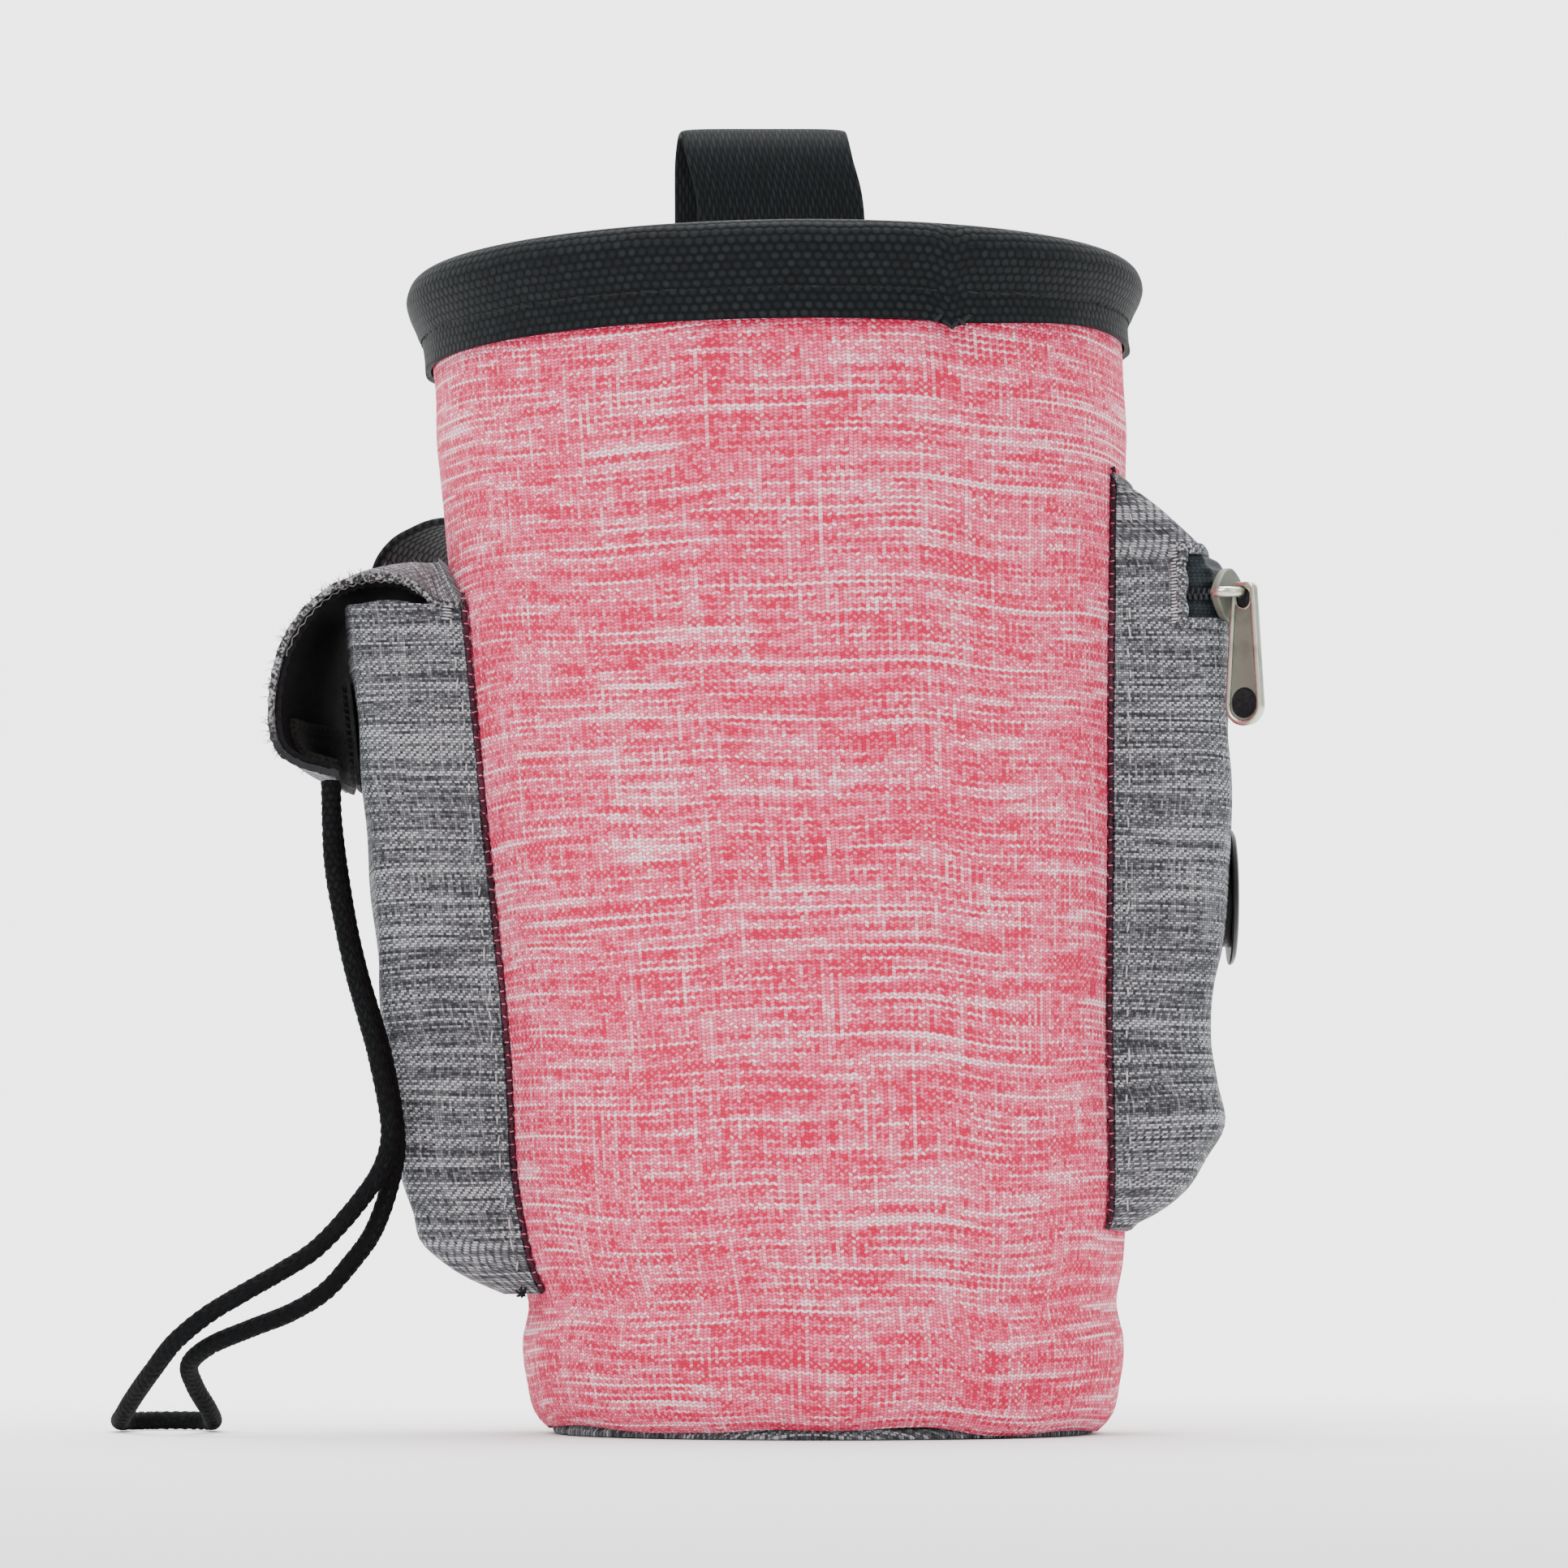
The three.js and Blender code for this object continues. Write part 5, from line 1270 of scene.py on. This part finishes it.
def makeFlapThreads():
    # a fine pale line along the lining's toothed front edge
    along = np.linspace(flap["liningStart"], 0.62, 240)
    tooth = np.abs(np.mod((along - flap["liningStart"]) / (1 - flap["liningStart"]) * flap["teeth"], 1) * 2
                   - 1)
    near = np.stack([flapPoint(np.full(240, 0.96), along), flapPoint(np.full(240, 0.98), along),
                     flapPoint(np.full(240, 1.0), along)], axis=1)
    depth = flap["thickness"] + 0.2 + flap["frill"] * tooth
    line = near[:, 1] + gridNormals(near)[:, 1] * depth[:, None]
    line[:, 1] = -20.35
    makeTubes("flap_threads", [tubeGrid(line, (0, 1, 0), 0.24, 0.2, 6)], fibreThread, "gray_cloth")


def makeFibres():
    # short bent fibres that stand out of the flap's cut edges: thin three-sided spikes
    count = flap["fibres"]
    along = dice.uniform(0.05, 0.86, count)
    front = dice.uniform(0, 1, count) < 0.7
    across = np.where(front, dice.uniform(0.985, 1.0, count), dice.uniform(0, 1, count))
    base = flapPoint(across, along)
    near = np.stack([flapPoint(across, np.clip(along - 0.01, 0, 1)), base,
                     flapPoint(across, np.clip(along + 0.01, 0, 1))])
    tangent = np.gradient(near, axis=0)[1]
    outward = unit(np.cross(tangent, [0, 1.0, 0]))
    outward *= np.where(outward[:, :1] * 0.7 - outward[:, 2:] * 0.7 > 0, -1.0, 1.0)
    way = outward + np.stack([dice.normal(0, 0.35, count),
                              np.where(front, -0.5, dice.normal(0, 0.3, count)),
                              dice.normal(0, 0.35, count)], axis=1)
    way = unit(way)
    length = dice.uniform(0.5, 1.7, count)
    bend = dice.normal(0, 0.35, (count, 3))
    share = np.linspace(0, 1, 4)[None, :, None]
    spine = base[:, None] + way[:, None] * share * length[:, None, None] + bend[:, None] * share ** 2
    turn = np.linspace(0, 2 * np.pi, 4)
    side = unit(np.cross(way, [0.3, 0.5, 0.81]))
    lift = np.cross(side, way)
    thick = 0.07 * (1 - share ** 2)
    ring = (side[:, None, None] * np.cos(turn)[None, None, :, None]
            + lift[:, None, None] * np.sin(turn)[None, None, :, None]) * thick[:, :, None]
    makeRows("edge_fibres", spine[:, :, None] + ring, fibreThread, "gray_cloth")


makeFlap()
makeFlapLining()
makeFlapPatch()
makeHookPatch()
makeFlapThreads()
makeFibres()
print("flap made")


# Seams and topstitching

seam = {
    "width": 0.85, "rise": 0.6, "out": 20.6, "clear": 0.75, "stitchStep": 2.1,
    "runs": ((-1, 23.8, 139.5), (1, 34.0, 160.5)), "paleStep": 3.3, "paleOut": 20.35,
    "paleRuns": ((-1, 28.0, 134.5, 2.3), (1, 38.0, 133.0, 3.0), (1, 136.0, 152.0, 3.0)),
    "seamKnot": (-49.6, -21.3, 23.6), "hemKnot": (-6.2, 3.6),
    "zipBar": {"x": 58.3, "levels": (134.6, 147.4, 0.55), "spread": 0.1, "out": 20.45, "way": (1, 0, 0.15),
               "length": 1.4, "width": 0.34},
    "flapBar": {"x": -62.5, "levels": (135.2, 138.4, 0.5), "spread": 0.15, "out": 20.4, "way": (1, 0, -0.1),
                "length": 1.7, "width": 0.3},
}


def seamLine(side, face, low, high, count):
    # where a pocket's gusset meets the bucket; face is -1 at the front and 1 at the back
    height = np.linspace(low, high, count)
    radius = bodyRadius(height) + seam["clear"]
    x = bodyCentre(height) + side * np.sqrt(radius ** 2 - seam["out"] ** 2)
    return np.stack([x, np.full(count, face * seam["out"]), height], axis=1)


def makeSeams():
    grids = []
    stitches = []
    for side, low, high in seam["runs"]:
        for face in (-1, 1):
            line = seamLine(side, face, low, high, 220)
            wobble = 0.12 * np.sin(line[:, 2] * 1.9 + side) + 0.08 * np.sin(line[:, 2] * 4.1)
            line[:, 0] += wobble
            width = seam["width"] * (1 + 0.22 * np.sin(line[:, 2] * 2.7) + 0.12
                                     * np.sin(line[:, 2] * 6.3 + 1))
            grids.append(tubeGrid(line, (0, face, 0), width, seam["rise"], 8))
            height = np.arange(low + 1, high - 1, seam["stitchStep"])
            at = seamLine(side, face, low + 1, high - 1, len(height))
            count = len(height)
            across = np.stack([np.ones(count), np.zeros(count), dice.normal(0, 0.25, count)], axis=1)
            stitches.append((at + [0, face * 0.25, 0], across, (0, face, 0), dice.uniform(0.5, 1.15, count),
                             0.22, 0.22))
    # the welts are painted dark: overlock thread and the shade of the seam's gap together
    makeTubes("seam_welts_and_shade", grids, plumThreadAndShade, "pink_cloth")
    layStitches("seam_stitches", stitches, pinkThread, "pink_cloth")


def makeTopstitch():
    # pale stitches on the gussets beside the seams, and the bars at the openings' ends
    runs = []
    for side, low, high, offset in seam["paleRuns"]:
        for face in (-1, 1):
            count = int((high - low) / seam["paleStep"])
            line = seamLine(side, face, low, high, count)
            line[:, 0] += side * (offset + dice.normal(0, 0.18, count))
            line[:, 1] = face * seam["paleOut"]
            along = np.stack([dice.normal(0, 0.12, count), np.zeros(count), np.ones(count)], axis=1)
            runs.append((line, along, (0, face, 0), dice.uniform(1.3, 2.6, count), 0.3, 0.22))
    for face in (-1, 1):
        for bar in (seam["zipBar"], seam["flapBar"]):
            level = np.arange(*bar["levels"])
            x = bar["x"] + dice.normal(0, bar["spread"], len(level))
            centre = np.stack([x, np.full(len(level), face * bar["out"]), level], axis=1)
            runs.append((centre, bar["way"], (0, face, 0), bar["length"], bar["width"], 0.3))
    layStitches("pale_stitches", runs, paleThread, "gray_cloth")


def makeKnots():
    # a dark knot where the left seam ends and a pink one on the hem: a tight bundle of short turns
    def bundle(centre, count, size, length, width):
        offset = dice.normal(0, size, (count, 3))
        way = dice.normal(0, 1, (count, 3))
        up = np.cross(way, dice.normal(0, 1, (count, 3)))
        return np.array(centre) + offset, way, up, length, width, width

    layStitches("seam_knot", [bundle(seam["seamKnot"], 9, 0.32, 1.7, 0.45)], blackThread, "black_webbing")
    x, level = seam["hemKnot"]
    y = -float(bodyRadius(np.array(level))) - 0.35
    layStitches("hem_knot", [bundle((x, y, level), 8, 0.3, 1.5, 0.32)], pinkThread, "pink_cloth")


makeSeams()
makeTopstitch()
makeKnots()
print("seams made")


# The grommet, the slider and the pull

grommet = {"radius": 11.5, "hole": 7.0, "sleeve": 8.4, "flange": 1.1, "gap": 0.3, "wall": 2.0}


def makeGrommet():
    # a rolled ring in the pocket's outer face, its profile turned about the X axis
    front = grommet["flange"] + grommet["gap"]
    back = -grommet["wall"] - grommet["gap"] - grommet["flange"]
    hole = grommet["hole"]
    rimOut = grommet["radius"]
    profile = np.array([(hole, back), (rimOut, back), (rimOut, back + grommet["flange"]),
                        (grommet["sleeve"], back + grommet["flange"]),
                        (grommet["sleeve"], 0.25),
                        (rimOut - 0.2, 0.2), (rimOut, 0.45), (rimOut - 0.3, 0.95), (rimOut - 1.1, 1.3),
                        (9.6, front), (8.6, 1.35), (7.7, 1.05), (7.15, 0.5), (hole, -0.3), (hole, back)])
    angle = np.linspace(0, 2 * np.pi, 73)[None, :]
    height = zipPocket["outletHeight"]
    seat = float(reachAt(zipPocket, np.array(height))) + zipPocket["bulge"]
    grid = np.stack([np.broadcast_to(seat + profile[:, 1:], (len(profile), 73)),
                     profile[:, :1] * np.cos(angle), height + profile[:, :1] * np.sin(angle)], axis=-1)
    makeSweep("grommet_ring", grid, grid[..., 1:], [enamel], "black_enamel", ("bag_grommet",),
              sharpDegrees=50, mend=True)


hardware = {
    "seat": (66.412, -18.384, 139.4), "azimuth": -35.0, "axisHeight": 4.2, "sliderLength": 9.5,
    "sliderWidth": 8.4, "sliderThickness": 1.5, "wingDroop": 0.05, "bridgeThickness": 1.2,
    "bridgeWidth": 1.7, "pullLength": 24.0, "pullTop": 4.5, "pullEnd": 7.0, "pullFrame": 0.95,
    "pullThickness": 1.7, "pullWeb": 0.8, "headRise": 1.85, "windowLow": 2.2,
    "windowHigh": 2.9, "lipWidth": 0.35, "lipRise": 0.16, "floorHalf": 0.12,
    "arch": [(-4.0, 0.8), (-3.95, 2.0), (-3.3, 3.2), (-2.2, 3.9), (-0.8, 4.2), (0.8, 4.2), (2.2, 3.9),
             (3.3, 3.2), (3.95, 2.0), (4.0, 0.8)],
}


def roundedPlate(outlines, halfDepth, bevel):
    # a flat curve with its holes, given thickness and rounded edges, as arrays
    curve = bpy.data.curves.new("outline", "CURVE")
    curve.dimensions = "2D"
    curve.fill_mode = "BOTH"
    curve.extrude = halfDepth - bevel
    curve.bevel_depth = bevel
    curve.bevel_resolution = 3
    curve.offset = -bevel
    for outline in outlines:
        spline = curve.splines.new("POLY")
        spline.points.add(len(outline) - 1)
        flat = np.column_stack([outline, np.zeros(len(outline)), np.ones(len(outline))])
        spline.points.foreach_set("co", flat.ravel())
        spline.use_cyclic_u = True
    holder = bpy.data.objects.new("outline", curve)
    bpy.context.scene.collection.objects.link(holder)
    shaped = bpy.data.meshes.new_from_object(holder.evaluated_get(bpy.context.evaluated_depsgraph_get()))
    points = np.empty(len(shaped.vertices) * 3)
    shaped.vertices.foreach_get("co", points)
    faces = [tuple(face.vertices) for face in shaped.polygons]
    bpy.data.objects.remove(holder)
    bpy.data.curves.remove(curve)
    bpy.data.meshes.remove(shaped)
    return points.reshape(-1, 3), faces


def arcPoints(centre, radius, start, end, count):
    turn = np.radians(np.linspace(start, end, count))
    return np.stack([centre[0] + radius * np.cos(turn), centre[1] + radius * np.sin(turn)], axis=1)


def pullOutline(inset):
    # a long drop: nearly straight sides, a small rounded head and a half-round end
    top = hardware["headRise"] - inset
    topHalf = hardware["pullTop"] / 2 - inset
    endHalf = hardware["pullEnd"] / 2 - inset
    end = hardware["headRise"] - hardware["pullLength"] + hardware["pullEnd"] / 2
    corner = topHalf * 0.6
    return np.vstack([
        arcPoints((topHalf - corner, top - corner), corner, 90, 0, 7),
        arcPoints((0, end), endHalf, 0, -180, 25),
        arcPoints((-topHalf + corner, top - corner), corner, 180, 90, 7)])


def slotOutline(half, low, high):
    return np.vstack([arcPoints((0, high - half), half, 180, 0, 15),
                      arcPoints((0, low + half), half, 0, -180, 15)])


def placeHardware(points, pull):
    # local X along the zip, Y up and Z out of the pocket; the pull's own X points out and Y up
    turn = math.radians(hardware["azimuth"])
    outward = np.array([math.cos(turn), math.sin(turn), 0])
    along = np.array([-math.sin(turn), math.cos(turn), 0])
    up = np.array([0, 0, 1.0])
    seat = np.array(hardware["seat"])
    if pull:
        return (seat + outward * hardware["axisHeight"] + points[:, :1] * outward + points[:, 1:2] * up
                - points[:, 2:3] * along)
    return seat + points[:, :1] * along + points[:, 1:2] * up + points[:, 2:3] * outward


def joinPlates(name, plates, pull, replaced, body):
    # several plates as one piece; each names its material
    points = []
    faces = []
    choice = []
    count = 0
    for flat, polygons, material in plates:
        points.append(flat)
        faces.extend([tuple(corner + count for corner in polygon) for polygon in polygons])
        choice.extend([material] * len(polygons))
        count += len(flat)
    makePiece(name, placeHardware(np.vstack(points), pull), faces, None,
              [nickel, brushedNickel, hookPlastic], "nickel", replaced, choice, sharpDegrees=32, mend=True,
              body=body, weld=2e-6)


def makeSlider():
    # two leaf-shaped wings over each other and a bent bar across them
    half = hardware["sliderLength"] / 2
    side = hardware["sliderWidth"] / 2
    leafX = np.array([-half * 0.92, -half * 0.6, -half * 0.1, half * 0.4, half * 0.85, half])
    leafY = np.array([0.0, 0.5, 0.95, 1.05, 0.6, 0.0]) * side
    share = np.linspace(0, 5, 26)
    x = readSmooth(np.arange(6), leafX, share)
    y = readSmooth(np.arange(6), leafY, share)
    leaf = np.vstack([np.stack([x, y], axis=1), np.stack([x, -y], axis=1)[-2:0:-1]])
    wing = roundedPlate([leaf], hardware["sliderThickness"] / 2, 0.32)
    wing[0][:, 2] += hardware["sliderThickness"] / 2 - hardware["wingDroop"] * np.abs(wing[0][:, 1]) ** 1.6
    arch = np.array(hardware["arch"])
    at = np.linspace(0, 9, 50)
    path = np.stack([readSmooth(np.arange(10), arch[:, 0], at), np.zeros(50),
                     readSmooth(np.arange(10), arch[:, 1], at)], axis=1)
    bar = tubeGrid(path, (0, 1, 0), hardware["bridgeThickness"], hardware["bridgeWidth"], 14)
    barFaces = [tuple(face) for face in gridQuads(*bar.shape[:2]).tolist()]
    joinPlates("zip_slider_body", [(*wing, 1), (bar.reshape(-1, 3), barFaces, 0)], False, ("zip_slider",),
               "pouch")


def makePull():
    # a raised frame round a thinner recessed plate; its small eye above and its round window
    # below have dark floors
    frameWidth = hardware["pullFrame"]
    topHalf = hardware["pullTop"] / 2
    web = hardware["pullWeb"] / 2
    border = roundedPlate([pullOutline(0), pullOutline(frameWidth)], hardware["pullThickness"] / 2, 0.38)
    head = hardware["headRise"] - frameWidth
    eyeTop = head - 0.05
    eyeLow = head - 3.4
    eye = slotOutline(topHalf - frameWidth - 0.05, eyeLow, eyeTop)
    end = hardware["headRise"] - hardware["pullLength"] + hardware["pullEnd"] / 2
    window = slotOutline(hardware["pullEnd"] / 2 - frameWidth - 0.15, end - hardware["windowLow"],
                         end + hardware["windowHigh"])
    plate = roundedPlate([pullOutline(frameWidth - 0.35), eye, window], web, 0.12)
    lipOutline = slotOutline(topHalf - 0.75, eyeLow - hardware["lipWidth"], head + 0.2)
    lip = roundedPlate([lipOutline, eye], web + hardware["lipRise"], 0.12)
    floors = [(*roundedPlate([hole], hardware["floorHalf"], 0.02), 2) for hole in (eye, window)]
    joinPlates("pull_tab", [(*border, 0), (*plate, 1), (*lip, 0), *floors], True, ("zip_pull",), "pull")


makeGrommet()
makeSlider()
makePull()
print("metal made")


# Floor, backdrop and light

stage = {"floor": (0.93, 0.93, 0.93, 1), "world": (1.0, 1.0, 1.0, 1), "worldStrength": 1.0}


def makeStage():
    # a floor that curves up into a wall far behind, as one sweep
    y = np.concatenate([np.linspace(-3000, 900, 30), 900 + 700 * np.sin(np.linspace(0, np.pi / 2, 24))[1:],
                        np.full(10, 1600.0)])
    z = np.concatenate([np.zeros(30), 700 - 700 * np.cos(np.linspace(0, np.pi / 2, 24))[1:],
                        np.linspace(700, 3500, 11)[1:]])
    x = np.linspace(-3000, 3000, 13)[None, :]
    grid = np.stack(np.broadcast_arrays(x, y[:, None], z[:, None]), axis=-1)
    mesh = bpy.data.meshes.new("floor")
    mesh.from_pydata((grid.reshape(-1, 3) * mm).tolist(), [], gridQuads(*grid.shape[:2]).tolist())
    mesh.polygons.foreach_set("use_smooth", np.ones(len(mesh.polygons), bool))
    material = bpy.data.materials.new("pale floor")
    material.use_nodes = True
    surface = material.node_tree.nodes["Principled BSDF"]
    surface.inputs["Base Color"].default_value = stage["floor"]
    surface.inputs["Roughness"].default_value = 0.95
    surface.inputs["Specular IOR Level"].default_value = 0.1
    mesh.materials.append(material)
    floor = bpy.data.objects.new("floor", mesh)
    bpy.context.scene.collection.objects.link(floor)


def makeLight(name, size, power, place, target):
    lamp = bpy.data.lights.new(name, "AREA")
    lamp.shape = "DISK"
    lamp.size = size
    lamp.energy = power
    holder = bpy.data.objects.new(name, lamp)
    holder.location = place
    way = np.array(target) - np.array(place)
    yaw = math.atan2(way[1], way[0])
    fall = math.atan2(math.hypot(way[0], way[1]), -way[2])
    holder.rotation_euler = (fall, 0, yaw - math.pi / 2)
    bpy.context.scene.collection.objects.link(holder)


makeStage()
makeLight("key", 1.2, 36, (-0.9, -1.5, 1.5), (0, 0, 0.1))
makeLight("fill", 1.4, 9, (1.3, -1.3, 0.9), (0, 0, 0.1))
makeLight("top", 1.2, 13, (0.1, 0.5, 1.7), (0, 0, 0.1))
makeLight("back wall", 2.0, 60, (0, 0.5, 1.4), (0, 1.6, 0.5))
world = bpy.data.worlds.new("studio")
world.use_nodes = True
backdrop = world.node_tree.nodes["Background"]
backdrop.inputs["Color"].default_value = stage["world"]
backdrop.inputs["Strength"].default_value = stage["worldStrength"]
bpy.context.scene.world = world
print("stage set")
